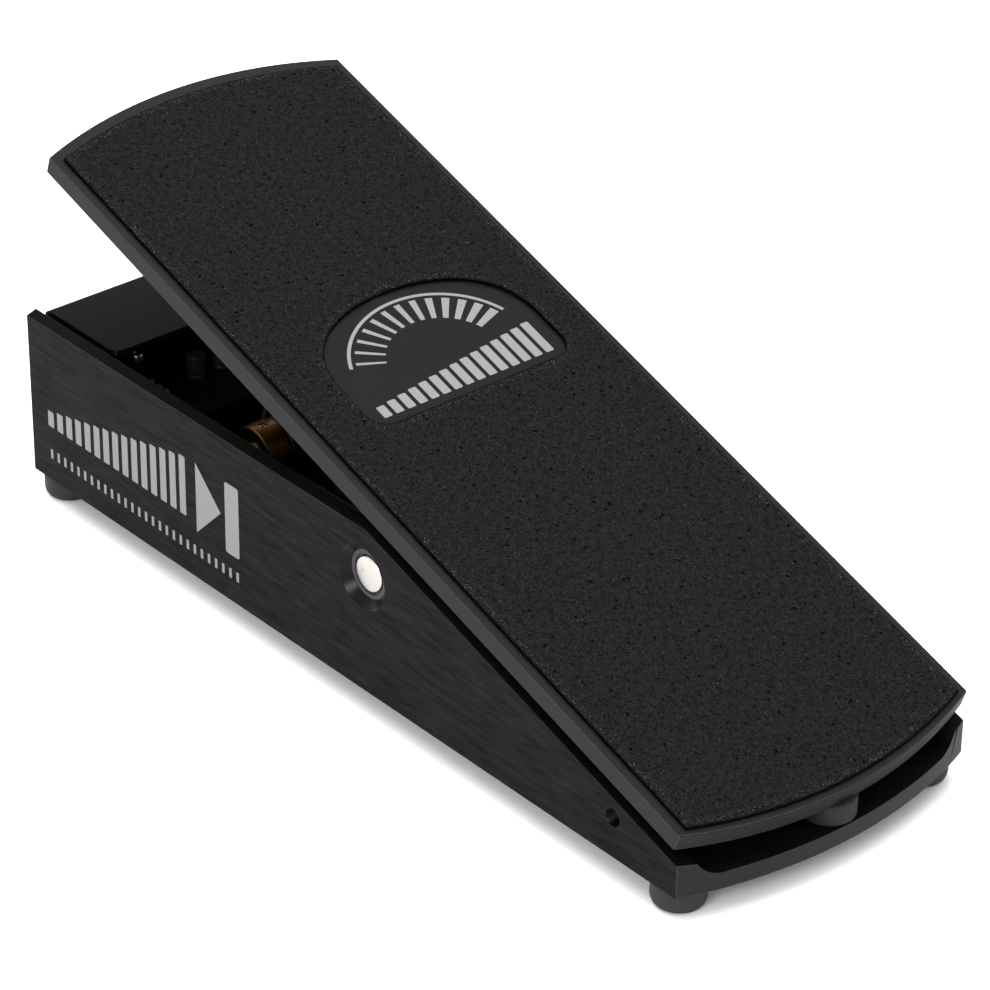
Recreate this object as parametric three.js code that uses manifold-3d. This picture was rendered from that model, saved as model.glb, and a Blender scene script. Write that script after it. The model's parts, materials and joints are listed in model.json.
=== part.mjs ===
// A foot volume pedal: a channel-shaped aluminium housing with a rocking treadle above it.
// The treadle turns on a shaft through the side walls. A cord from its toe end runs once round the
// drum of a potentiometer and on to a tension spring, so rocking the treadle turns the potentiometer.
//
// Millimetres. +X is to the right, +Y to the toe end and +Z up. The origin is on the ground, in the
// middle of the pedal. The pedal stands heel down, with the treadle on its heel bumper.

import * as THREE from 'three';
import { mergeVertices } from 'three/addons/utils/BufferGeometryUtils.js';
import Module from 'manifold-3d';

const wasm = await Module();
wasm.setup();

// ---------------------------------------------------------------- driving dimensions

const GAP = 0.1;                 // between pieces that rest on each other
const HALF_WIDTH = 50.1;         // of the housing and of the treadle
const HALF_SIDE = 135.3;         // half the straight side of the housing
const END_RADIUS = 141;          // plan radius of the bowed ends
const WALL = 4.4;
const FLOOR = 5;
const FILLET = 8;                // inside, between wall and floor
const BOW_STEPS = 14;            // facets along each bowed end
const FOOT_HEIGHT = 7.5;
const FLOOR_TOP = FOOT_HEIGHT + FLOOR;
const WALL_TOP = 57.4;           // along the toe half
const HEEL_WALL_TOP = 17.4;
const SLOPE_START_Y = -15.4;     // from here the wall tops fall to the heel

const PIVOT = { y: -14, z: 42.2 };
const REST_TILT = THREE.MathUtils.degToRad(18.5);
const SHAFT_RADIUS = 5.15;
const BUSHING_RADIUS = 7.05;
const BUSHING_RECESS = 2.3;      // also the depth of the countersink round it

const TREADLE = { heel: -120.3, toe: 149.3, underside: 18.5, thickness: 5.3 };
const TREADLE_TOP = TREADLE.underside + TREADLE.thickness;
const PAD = { rim: 2.8, heel: -119.6, toe: 146.4, endRadius: 146, thickness: 1 };
const WINDOW = { x: 2, v: 24, halfWidth: 34, straight: 16, height: 41 };

const FOOT = { radius: 7.3, x: 42.4, heelY: -128.4, toeY: 129 };
const HEEL_BUMPER = { y: -137, radius: 7.3, height: 5.85 };
const TOE_BUMPER = { x: 25, v: 130, radius: 6, height: 2.8 };
const SIDE_HOLE = { y: -111.9, z: 19.4, radius: 2.6 };

const BRACKET = { halfWidth: 43.9, rear: 101.5, front: 135.3, sheet: 1.8, flangeRear: 122 };
const JACK = { spacing: 30, z: 26.3, half: 7.5, length: 27, bushing: 4.7, bore: 3.4, reach: 141 };
const BOARD = { halfWidth: 40, rear: 90, front: 131.5, z: 34.4, thickness: 1.6 };
const BOARD_TOP = BOARD.z + BOARD.thickness;

const DRUM = {
  y: 71.7, z: 29.7, hub: 8, groove: 6.3, start: -20, grooveStart: -12.4, grooveEnd: -9, end: -7.8,
};
const POT = { plate: -4.3, sheet: 2, radius: 12, depth: 11, bushing: 4.7, shaft: 3.175 };
const CORD_RADIUS = 0.6;
const CORD_ARM = DRUM.groove + CORD_RADIUS + 0.15;   // drum axis to the middle of the cord
const CORD = { anchorX: -11.6, tailX: -9.9, wraps: 1 };
const ANCHOR = { v: 85.5, w: 12, radius: 2.6 };
const CLIP = { front: 19.5, rear: 8.7, radius: 1.9 };
const SPRING = { postY: -62, radius: 3.2, wire: 0.4, coils: 13 };

const SCREW = { head: 2.9, headHeight: 2, shank: 1.45, hole: 1.6 };

// ---------------------------------------------------------------- solids

// Any closed geometry as a solid with its shared corners merged and its faces pointing out.
function solid(geometry) {
  const bare = geometry.clone();
  bare.deleteAttribute('normal');
  bare.deleteAttribute('uv');
  const merged = mergeVertices(bare, 1e-4);
  const points = merged.attributes.position;
  const corner = (i) => new THREE.Vector3().fromBufferAttribute(points, i);
  const triangles = [];
  let volume = 0;
  for (let i = 0; i < merged.index.count; i += 3) {
    const [a, b, c] = [0, 1, 2].map((k) => merged.index.getX(i + k));
    if (a !== b && b !== c && c !== a) {
      triangles.push([a, b, c]);
      volume += corner(a).dot(corner(b).cross(corner(c)));
    }
  }
  const outward = volume < 0 ? triangles.map(([a, b, c]) => [a, c, b]) : triangles;
  return new wasm.Manifold(new wasm.Mesh({
    numProp: 3,
    vertProperties: new Float32Array(points.array),
    triVerts: new Uint32Array(outward.flat()),
  }));
}

function asGeometry(manifold) {
  const mesh = manifold.getMesh();
  const geometry = new THREE.BufferGeometry();
  geometry.setAttribute('position', new THREE.BufferAttribute(new Float32Array(mesh.vertProperties), 3));
  geometry.setIndex(new THREE.BufferAttribute(new Uint32Array(mesh.triVerts), 1));
  geometry.computeVertexNormals();
  return geometry;
}

const union = (first, ...others) => others.reduce((whole, g) => whole.add(solid(g)), solid(first));
const without = (body, cutters) => cutters.reduce((rest, g) => rest.subtract(solid(g)), body);

function box(x0, x1, y0, y1, z0, z1) {
  const geometry = new THREE.BoxGeometry(x1 - x0, y1 - y0, z1 - z0);
  return geometry.translate((x0 + x1) / 2, (y0 + y1) / 2, (z0 + z1) / 2);
}

// A shape drawn in (x, y), carried from z0 to z1.
function prismZ(shape, z0, z1, curveSegments = 12) {
  const geometry = new THREE.ExtrudeGeometry(shape, { depth: z1 - z0, bevelEnabled: false, curveSegments });
  return geometry.translate(0, 0, z0);
}

// A shape drawn in (y, z), carried from x0 to x1.
function prismX(shape, x0, x1, curveSegments = 12) {
  const turn = new THREE.Matrix4().makeBasis(
    new THREE.Vector3(0, 1, 0), new THREE.Vector3(0, 0, 1), new THREE.Vector3(1, 0, 0),
  );
  return prismZ(shape, x0, x1, curveSegments).applyMatrix4(turn);
}

// A shape drawn in (x, z), carried from y0 to y1.
function prismY(shape, y0, y1, curveSegments = 12) {
  return prismZ(shape, -y1, -y0, curveSegments).rotateX(Math.PI / 2);
}

// A profile of [radius, height] points turned about the Z, X or Y axis.
function turned(profile, sides) {
  return new THREE.LatheGeometry(profile.map(([r, h]) => new THREE.Vector2(r, h)), sides);
}

const turnedZ = (profile, sides = 24) => turned(profile, sides).rotateX(Math.PI / 2);
const turnedX = (profile, sides = 24) => turned(profile, sides).rotateZ(-Math.PI / 2);

const rod = (radius, from, to) => [[0, from], [radius, from], [radius, to], [0, to]];
const tube = (inner, outer, from, to) => [
  [inner, from], [outer, from], [outer, to], [inner, to], [inner, from],
];
const rodZ = (radius, z0, z1, x, y, sides = 8) => turnedZ(rod(radius, z0, z1), sides).translate(x, y, 0);
const rodX = (radius, x0, x1, y, z, sides = 24) => turnedX(rod(radius, x0, x1), sides).translate(0, y, z);
const rodY = (radius, y0, y1, x, z, sides = 24) => (
  turnedZ(rod(radius, -y1, -y0), sides).rotateX(Math.PI / 2).translate(x, 0, z)
);

function polygon(points) {
  return new THREE.Shape(points.map(([a, b]) => new THREE.Vector2(a, b)));
}

function hexagon(acrossFlats) {
  const corner = acrossFlats / Math.sqrt(3);
  return polygon([0, 1, 2, 3, 4, 5].map((k) => [
    corner * Math.cos((k * Math.PI) / 3), corner * Math.sin((k * Math.PI) / 3),
  ]));
}

function roundedBar(halfWidth, halfHeight, radius) {
  const shape = new THREE.Shape();
  shape.absarc(halfWidth - radius, halfHeight - radius, radius, 0, Math.PI / 2, false);
  shape.absarc(radius - halfWidth, halfHeight - radius, radius, Math.PI / 2, Math.PI, false);
  shape.absarc(radius - halfWidth, radius - halfHeight, radius, Math.PI, 1.5 * Math.PI, false);
  shape.absarc(halfWidth - radius, radius - halfHeight, radius, 1.5 * Math.PI, 2 * Math.PI, false);
  return shape;
}

// The plan of the housing, the treadle and the pad: straight sides, with both ends bowed outwards.
function bowedPlan(halfWidth, heel, toe, radius) {
  const rise = Math.sqrt(radius ** 2 - halfWidth ** 2);
  const angle = Math.atan2(rise, halfWidth);
  const shape = new THREE.Shape();
  shape.absarc(0, toe - rise, radius, angle, Math.PI - angle, false);
  shape.absarc(0, heel + rise, radius, angle - Math.PI, -angle, false);
  return shape;
}

// A slotted pan-head screw, head up, its shank reaching down from the origin.
function panScrew(length) {
  const { head, headHeight, shank } = SCREW;
  const body = turnedZ([
    [0, -length], [shank, -length], [shank, 0], [head, 0], [head, headHeight * 0.55],
    [head * 0.7, headHeight], [0, headHeight],
  ], 12);
  const slot = box(-head - 1, head + 1, -0.35, 0.35, headHeight * 0.55, headHeight + 1);
  return asGeometry(without(solid(body), [slot]));
}

// ---------------------------------------------------------------- materials

const finish = (color, roughness, metalness) => (
  new THREE.MeshStandardMaterial({ color, roughness, metalness })
);

const FINISH = {
  blackAluminium: () => finish(0x37383a, 0.45, 0.6),
  greyAluminium: () => finish(0x9a9c9e, 0.4, 0.8),
  grip: () => finish(0x2a2a2a, 0.95, 0),
  rubber: () => finish(0x1c1c1d, 0.85, 0),
  greyRubber: () => finish(0x5a5a5a, 0.8, 0),
  glossBlack: () => finish(0x1b1e23, 0.2, 0.2),
  bushing: () => finish(0x77787a, 0.5, 0),
  steel: () => finish(0xc4c6c8, 0.25, 1),
  brass: () => finish(0xb8964a, 0.3, 1),
  board: () => finish(0x1f4a35, 0.5, 0),
  blackPlastic: () => finish(0x17181a, 0.5, 0),
  cord: () => finish(0x2a241c, 0.9, 0),
  lead: () => finish(0x8c2f2f, 0.6, 0),
  capacitor: () => finish(0x9a5a2c, 0.5, 0),
};

function piece(parent, name, geometry, material, position = [0, 0, 0]) {
  const mesh = new THREE.Mesh(geometry, material);
  mesh.name = name;
  mesh.position.set(...position);
  parent.add(mesh);
  return mesh;
}

// ---------------------------------------------------------------- housing and feet

const SIDES = [['left', -1], ['right', 1]];
const FEET = [
  ['heel_left', -FOOT.x, FOOT.heelY], ['heel_right', FOOT.x, FOOT.heelY],
  ['toe_left', -FOOT.x, FOOT.toeY], ['toe_right', FOOT.x, FOOT.toeY],
];
const STANDOFFS = [
  ['rear_left', -34, 94, FLOOR_TOP + GAP], ['rear_right', 34, 94, FLOOR_TOP + GAP],
  ['front_left', -18.7, 128, FLOOR_TOP + BRACKET.sheet + 2 * GAP],
  ['front_right', 18.7, 128, FLOOR_TOP + BRACKET.sheet + 2 * GAP],
];
const BRACKET_SCREWS = [['left', -11.6, 126.5], ['right', 11.6, 126.5]];
const POT_SCREWS = [['rear', 13.6, 65], ['front', 13.6, 78.4]];

function channelSection() {
  const inner = HALF_WIDTH - WALL;
  const shape = new THREE.Shape();
  shape.moveTo(-HALF_WIDTH, FOOT_HEIGHT);
  shape.lineTo(HALF_WIDTH, FOOT_HEIGHT);
  shape.lineTo(HALF_WIDTH, WALL_TOP);
  shape.lineTo(inner, WALL_TOP);
  shape.absarc(inner - FILLET, FLOOR_TOP + FILLET, FILLET, 0, -Math.PI / 2, true);
  shape.absarc(FILLET - inner, FLOOR_TOP + FILLET, FILLET, -Math.PI / 2, -Math.PI, true);
  shape.lineTo(-inner, WALL_TOP);
  shape.lineTo(-HALF_WIDTH, WALL_TOP);
  shape.closePath();
  return shape;
}

function wallElevation() {
  const far = HALF_SIDE + 20;
  const fall = (WALL_TOP - HEEL_WALL_TOP) / (SLOPE_START_Y + HALF_SIDE);
  return polygon([
    [-far, FOOT_HEIGHT - 1], [far, FOOT_HEIGHT - 1], [far, WALL_TOP + 1], [SLOPE_START_Y, WALL_TOP + 1],
    [SLOPE_START_Y, WALL_TOP], [-far, WALL_TOP - fall * (SLOPE_START_Y + far)],
  ]);
}

// The hole for one pivot bushing, with the countersink that leaves the bushing in a recess.
function pivotHole(side) {
  const mouth = BUSHING_RADIUS + 0.05;
  const surface = side * HALF_WIDTH;
  const hole = turnedX([
    [0, -(WALL + 1)], [mouth, -(WALL + 1)], [mouth, -BUSHING_RECESS],
    [mouth + BUSHING_RECESS + 0.5, 0.5], [0, 0.5],
  ], 36);
  return (side < 0 ? hole.rotateY(Math.PI) : hole).translate(surface, PIVOT.y, PIVOT.z);
}

function housingGeometry() {
  const length = HALF_SIDE + 20;
  const plan = bowedPlan(HALF_WIDTH, -HALF_SIDE, HALF_SIDE, END_RADIUS);
  const channel = solid(prismY(channelSection(), -length, length, 4))
    .intersect(solid(prismX(wallElevation(), -HALF_WIDTH - 1, HALF_WIDTH + 1)))
    .intersect(solid(prismZ(plan, 0, WALL_TOP + 5, BOW_STEPS)));
  const blind = FLOOR_TOP - 1;
  const screwHole = (x, y) => rodZ(SCREW.hole, FOOT_HEIGHT + 1, FLOOR_TOP + 1, x, y);
  return asGeometry(without(channel, [
    ...SIDES.map(([, side]) => pivotHole(side)),
    rodX(SIDE_HOLE.radius, -HALF_WIDTH - 1, HALF_WIDTH + 1, SIDE_HOLE.y, SIDE_HOLE.z, 16),
    ...FEET.map(([, x, y]) => rodZ(SCREW.hole, FOOT_HEIGHT - 1, blind, x, y)),
    ...[...BRACKET_SCREWS, ...POT_SCREWS].map(([, x, y]) => screwHole(x, y)),
    screwHole(0, HEEL_BUMPER.y),
  ]));
}

function bushingGeometry() {
  const flange = BUSHING_RADIUS + 2;
  const bore = SHAFT_RADIUS + 0.06;
  const faceDepth = BUSHING_RECESS;
  return asGeometry(solid(turnedX([
    [bore, -WALL - 1.2], [flange, -WALL - 1.2], [flange, -WALL - GAP], [BUSHING_RADIUS, -WALL - GAP],
    [BUSHING_RADIUS, -faceDepth], [bore, -faceDepth], [bore, -WALL - 1.2],
  ], 36)));
}

// A rubber foot: its lower rim is rounded, and its screw sits in a recess below.
function footGeometry() {
  const { radius } = FOOT;
  const top = FOOT_HEIGHT - GAP;
  return asGeometry(solid(turnedZ([
    [3.2, 0], [radius - 1.9, 0], [radius - 0.6, 0.7], [radius, 2.2], [radius, top],
    [SCREW.hole, top], [SCREW.hole, 4.4], [3.2, 4.4], [3.2, 0],
  ], 20)));
}

function heelBumperGeometry() {
  const { radius, height } = HEEL_BUMPER;
  return asGeometry(solid(turnedZ([
    [SCREW.hole, 0], [radius, 0], [radius, height - 0.8], [radius - 0.8, height],
    [3.2, height], [3.2, 3], [SCREW.hole, 3], [SCREW.hole, 0],
  ], 24)));
}

function addHousing(pedal) {
  piece(pedal, 'housing', housingGeometry(), FINISH.blackAluminium());
  for (const [label, side] of SIDES) {
    const bushing = piece(pedal, `pivot_bushing_${label}`, bushingGeometry(), FINISH.bushing(),
      [side * HALF_WIDTH, PIVOT.y, PIVOT.z]);
    bushing.rotation.z = side < 0 ? Math.PI : 0;
  }
  for (const [label, x, y] of FEET) {
    piece(pedal, `foot_${label}`, footGeometry(), FINISH.rubber(), [x, y, 0]);
    const screw = piece(pedal, `foot_screw_${label}`, panScrew(6.6), FINISH.steel(), [x, y, 4.4 - GAP]);
    screw.rotation.x = Math.PI;
  }
  const bumperFloor = FLOOR_TOP + GAP / 2;
  piece(pedal, 'heel_bumper', heelBumperGeometry(), FINISH.greyRubber(), [0, HEEL_BUMPER.y, bumperFloor]);
  piece(pedal, 'heel_bumper_screw', panScrew(6), FINISH.steel(), [0, HEEL_BUMPER.y, bumperFloor + 3 + GAP]);
}

// ---------------------------------------------------------------- jacks and circuit board

// What the bracket leaves free beside the fillet between a wall and the floor.
function filletSpace(side) {
  const centre = HALF_WIDTH - WALL - FILLET;
  const level = FLOOR_TOP + FILLET;
  const clear = FILLET - 0.3;
  const shape = new THREE.Shape();
  shape.moveTo(side * centre, 0);
  shape.lineTo(side * HALF_WIDTH, 0);
  shape.lineTo(side * HALF_WIDTH, level);
  shape.lineTo(side * (centre + clear), level);
  shape.absarc(side * centre, level, clear, side > 0 ? 0 : -Math.PI, -Math.PI / 2, side > 0);
  shape.closePath();
  return prismY(shape, BRACKET.rear, BRACKET.front + 1, 6);
}

// One folded sheet: a top cover, a panel across the toe end for the jacks, and a foot on the floor.
function jackBracketGeometry() {
  const { halfWidth, rear, front, sheet, flangeRear } = BRACKET;
  const bottom = FLOOR_TOP + GAP;
  const bend = 2.6;
  const inside = bend - sheet;
  const section = new THREE.Shape();
  section.moveTo(rear, WALL_TOP - sheet);
  section.lineTo(rear, WALL_TOP);
  section.absarc(front - bend, WALL_TOP - bend, bend, Math.PI / 2, 0, true);
  section.absarc(front - bend, bottom + bend, bend, 0, -Math.PI / 2, true);
  section.lineTo(flangeRear, bottom);
  section.lineTo(flangeRear, bottom + sheet);
  section.absarc(front - bend, bottom + bend, inside, -Math.PI / 2, 0, false);
  section.absarc(front - bend, WALL_TOP - bend, inside, 0, Math.PI / 2, false);
  section.closePath();
  const corner = 3;
  const plan = new THREE.Shape();
  plan.moveTo(halfWidth, front + 1);
  plan.lineTo(-halfWidth, front + 1);
  plan.absarc(corner - halfWidth, rear + corner, corner, Math.PI, 1.5 * Math.PI, false);
  plan.absarc(halfWidth - corner, rear + corner, corner, 1.5 * Math.PI, 2 * Math.PI, false);
  plan.closePath();
  const folded = solid(prismX(section, -halfWidth - 1, halfWidth + 1, 4))
    .intersect(solid(prismZ(plan, 0, WALL_TOP + 5, 4)));
  return asGeometry(without(folded, [
    ...SIDES.map(([, side]) => filletSpace(side)),
    ...[-1, 0, 1].map((k) => rodY(JACK.bushing + 0.15, front - 5, front + 2, k * JACK.spacing, JACK.z, 16)),
    ...BRACKET_SCREWS.map(([, x, y]) => rodZ(SCREW.hole, 0, FLOOR_TOP + 5, x, y)),
  ]));
}

// A quarter-inch phone jack. Its origin is where its axis meets the inside of the panel.
function jackGeometry() {
  const { half, length, bushing, bore, reach } = JACK;
  const panel = BRACKET.front - BRACKET.sheet;
  const shell = prismY(roundedBar(half, half, 1.5), -length, -GAP, 3);
  const nose = rodY(bushing, -1, reach - panel, 0, 0, 16);
  const lug = (x) => box(x - 0.8, x + 0.8, -length + 4, -length + 5, half - 1, BOARD.z - GAP - JACK.z);
  return asGeometry(without(union(shell, nose, lug(-4), lug(4)), [
    rodY(bore, 3 - length, reach - panel + 1, 0, 0, 12),
  ]));
}

function jackNutGeometry() {
  const nut = solid(prismY(hexagon(12.7), 0, 2.4));
  return asGeometry(without(nut, [rodY(JACK.bushing + 0.15, -1, 4, 0, 0, 16)]));
}

function boardGeometry() {
  const { halfWidth, rear, front, z } = BOARD;
  return asGeometry(without(solid(box(-halfWidth, halfWidth, rear, front, z, BOARD_TOP)), STANDOFFS.map(
    ([, x, y]) => rodZ(SCREW.hole, z - 1, BOARD_TOP + 1, x, y),
  )));
}

function standoffGeometry(height) {
  const post = solid(prismZ(hexagon(5), 0, height));
  return asGeometry(without(post, [rodZ(SCREW.hole, height - 8, height + 1, 0, 0)]));
}

function addJacks(pedal) {
  const panel = BRACKET.front - BRACKET.sheet;
  piece(pedal, 'jack_bracket', jackBracketGeometry(), FINISH.glossBlack());
  for (const [label, x, y] of BRACKET_SCREWS) {
    piece(pedal, `jack_bracket_screw_${label}`, panScrew(4.8), FINISH.steel(),
      [x, y, FLOOR_TOP + BRACKET.sheet + 2 * GAP]);
  }
  for (const [label, k] of [['input', -1], ['output', 0], ['tuner', 1]]) {
    const x = k * JACK.spacing;
    piece(pedal, `${label}_jack`, jackGeometry(), FINISH.blackPlastic(), [x, panel, JACK.z]);
    piece(pedal, `${label}_jack_nut`, jackNutGeometry(), FINISH.steel(), [x, BRACKET.front + 0.8, JACK.z]);
  }
  piece(pedal, 'circuit_board', boardGeometry(), FINISH.board());
  for (const [label, x, y, z] of STANDOFFS) {
    piece(pedal, `board_standoff_${label}`, standoffGeometry(BOARD.z - GAP - z), FINISH.steel(), [x, y, z]);
    piece(pedal, `board_screw_${label}`, panScrew(6), FINISH.steel(), [x, y, BOARD_TOP + GAP]);
  }
  const onBoard = BOARD_TOP + GAP;
  piece(pedal, 'lead_connector', box(-4, 5, 95, 100, onBoard, onBoard + 3.1), FINISH.blackPlastic());
  piece(pedal, 'board_capacitor', rodX(2.2, 12, 22, 96.5, onBoard + 2.25, 16), FINISH.capacitor());
}

// ---------------------------------------------------------------- potentiometer, cord and spring

function potBracketGeometry() {
  const { plate, sheet } = POT;
  const floor = FLOOR_TOP + GAP;
  const top = DRUM.z + 14;
  const upright = box(plate, plate + sheet, DRUM.y - 14, DRUM.y + 11.5, floor, top);
  const base = box(plate, plate + 22, DRUM.y - 12, DRUM.y + 11.5, floor, floor + sheet);
  return asGeometry(without(union(upright, base), [
    rodX(POT.bushing + 0.15, plate - 1, plate + sheet + 1, DRUM.y, DRUM.z, 16),
    ...POT_SCREWS.map(([, x, y]) => rodZ(SCREW.hole, 0, floor + 5, x, y)),
  ]));
}

// The can and threaded bushing, with the lug wafer towards the board, round a blind bore for its shaft.
function potGeometry() {
  const face = POT.plate + POT.sheet + GAP;
  const can = turnedX([
    [0, face], [POT.radius, face], [POT.radius, face + POT.depth - 1], [POT.radius - 1, face + POT.depth],
    [0, face + POT.depth],
  ], 24);
  const bushing = turnedX(rod(POT.bushing, DRUM.end + 0.6, face + 1), 16);
  const wafer = box(face + 2, face + 3.4, 8, 14.4, -5, 5);
  return asGeometry(without(union(can, bushing, wafer), [
    turnedX(rod(POT.shaft + 0.2, DRUM.end, face + 6), 14),
  ]));
}

function drumGeometry() {
  const { hub, groove, start, grooveStart, grooveEnd, end } = DRUM;
  const edge = 0.5;
  const body = turnedX([
    [0, start], [hub - edge, start], [hub, start + edge], [hub, grooveStart], [groove, grooveStart + 0.3],
    [groove, grooveEnd - 0.3], [hub, grooveEnd], [hub, end], [0, end],
  ], 28);
  return asGeometry(without(solid(body), [
    turnedX(rod(POT.shaft + 0.1, start - 1, end + 1), 14),
    rodZ(1.25, 0, hub + 1, start + 3.8, 0),
  ]));
}

// Where a straight line from a point in the (y, z) plane touches the cord's circle on its toe side.
function tangentOnDrum(point) {
  const away = new THREE.Vector2(point.y - DRUM.y, point.z - DRUM.z);
  const lean = Math.acos(CORD_ARM / away.length());
  const angle = away.angle() - lean;
  return { angle, y: DRUM.y + CORD_ARM * Math.cos(angle), z: DRUM.z + CORD_ARM * Math.sin(angle) };
}

function onTreadle(v, w) {
  const [c, s] = [Math.cos(REST_TILT), Math.sin(REST_TILT)];
  return { y: PIVOT.y + v * c - w * s, z: PIVOT.z + v * s + w * c };
}

// Down from the treadle's anchor, round under the drum, and level along the housing to the clip.
class CordRoute extends THREE.Curve {
  constructor() {
    super();
    const end = onTreadle(ANCHOR.v, ANCHOR.w - 0.3);
    const touch = tangentOnDrum(end);
    const sweep = touch.angle + Math.PI / 2 + 2 * Math.PI * CORD.wraps;
    const upper = new THREE.Vector3(CORD.anchorX, end.y, end.z);
    const tail = new THREE.Vector3(CORD.tailX, CLIP.front + 0.3, DRUM.z - CORD_ARM);
    this.legs = [
      { length: Math.hypot(end.y - touch.y, end.z - touch.z), at: (t) => upper.clone().lerp(
        new THREE.Vector3(CORD.anchorX, touch.y, touch.z), t) },
      { length: sweep * CORD_ARM, at: (t) => {
        const angle = touch.angle - sweep * t;
        const x = THREE.MathUtils.lerp(CORD.anchorX, CORD.tailX, t);
        return new THREE.Vector3(
          x, DRUM.y + CORD_ARM * Math.cos(angle), DRUM.z + CORD_ARM * Math.sin(angle),
        );
      } },
      { length: DRUM.y - tail.y, at: (t) => (
        new THREE.Vector3(CORD.tailX, DRUM.y, tail.z).lerp(tail, t)
      ) },
    ];
    this.total = this.legs.reduce((sum, leg) => sum + leg.length, 0);
  }

  getPoint(t) {
    let along = t * this.total;
    for (const leg of this.legs) {
      if (along <= leg.length || leg === this.legs[2]) {
        return leg.at(Math.min(along / leg.length, 1));
      }
      along -= leg.length;
    }
    return null;
  }
}

function roundSection(radius, sides) {
  return polygon(Array.from({ length: sides }, (_, k) => [
    radius * Math.cos((2 * Math.PI * k) / sides), radius * Math.sin((2 * Math.PI * k) / sides),
  ]));
}

function cordGeometry() {
  const route = new CordRoute();
  route.arcLengthDivisions = 2000;
  return asGeometry(solid(new THREE.ExtrudeGeometry(roundSection(CORD_RADIUS, 8), {
    steps: 56, extrudePath: route, bevelEnabled: false,
  })));
}

// An eye round the neck of the post, the coils, and a ring standing in the eye of the clip.
function springGeometry() {
  const { postY, radius, wire, coils } = SPRING;
  const axisZ = DRUM.z - CORD_ARM;
  const eye = 2.5;
  const points = [];
  const add = (dx, y, dz) => points.push(new THREE.Vector3(CORD.tailX + dx, y, axisZ + dz));
  for (let a = 120; a <= 390; a += 45) {
    const turn = THREE.MathUtils.degToRad(a);
    add(eye * Math.cos(turn), postY + eye * Math.sin(turn), 0);
  }
  const coilStart = postY + 6;
  const coilEnd = 3.6;
  const perCoil = 8;
  for (let k = 0; k <= coils * perCoil; k += 1) {
    const turn = (2 * Math.PI * k) / perCoil;
    const y = THREE.MathUtils.lerp(coilStart, coilEnd, k / (coils * perCoil));
    add(radius * Math.cos(turn), y, radius * Math.sin(turn));
  }
  const ring = 1.75;
  const ringY = CLIP.rear - 0.25;
  for (let a = 200; a >= -115; a -= 45) {
    const turn = THREE.MathUtils.degToRad(a);
    add(0, ringY + ring * Math.cos(turn), ring * Math.sin(turn));
  }
  const path = new THREE.CatmullRomCurve3(points);
  path.arcLengthDivisions = 4000;
  return asGeometry(solid(new THREE.ExtrudeGeometry(roundSection(wire, 5), {
    steps: points.length, extrudePath: path, bevelEnabled: false,
  })));
}

function springPostGeometry() {
  const neck = DRUM.z - CORD_ARM - FLOOR_TOP;
  return asGeometry(solid(turnedZ([
    [0, GAP], [3.4, GAP], [3.4, 2], [2.6, 2.6], [2.6, neck - 1.6], [1.8, neck - 0.9], [1.8, neck + 0.9],
    [2.6, neck + 1.6], [1.8, neck + 3.2], [0, neck + 3.2],
  ], 14)));
}

// A crimped barrel over the cord's end, with a flat eye for the spring.
function clipGeometry() {
  const { front, rear, radius } = CLIP;
  const barrel = rodY(radius, rear + 4, front, 0, 0, 12);
  const tab = box(-radius, radius, rear, rear + 4.5, -0.55, 0.55);
  return asGeometry(without(union(barrel, tab), [rodZ(1.05, -2, 2, 0, rear + 1.5)]));
}

// The flat lead from the potentiometer's lugs up over the board's edge and down to its connector.
function leadGeometry() {
  const half = 0.5;
  const path = new THREE.CatmullRomCurve3([
    [DRUM.y + 15, DRUM.z], [DRUM.y + 16.4, DRUM.z + 1.4], [DRUM.y + 16.6, DRUM.z + 7],
    [DRUM.y + 19.2, DRUM.z + 11.8], [DRUM.y + 23.4, DRUM.z + 12.6], [DRUM.y + 25.8, DRUM.z + 9.8],
  ].map(([y, z]) => new THREE.Vector3(y, z, 0)));
  const steps = 12;
  const samples = path.getSpacedPoints(steps);
  const edge = (sign) => samples.map((p, i) => {
    const t = path.getTangentAt(i / steps);
    return [p.x - sign * half * t.y, p.y + sign * half * t.x];
  });
  return asGeometry(solid(prismX(polygon([...edge(1), ...edge(-1).reverse()]), -1.45, 2.45)));
}

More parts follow.
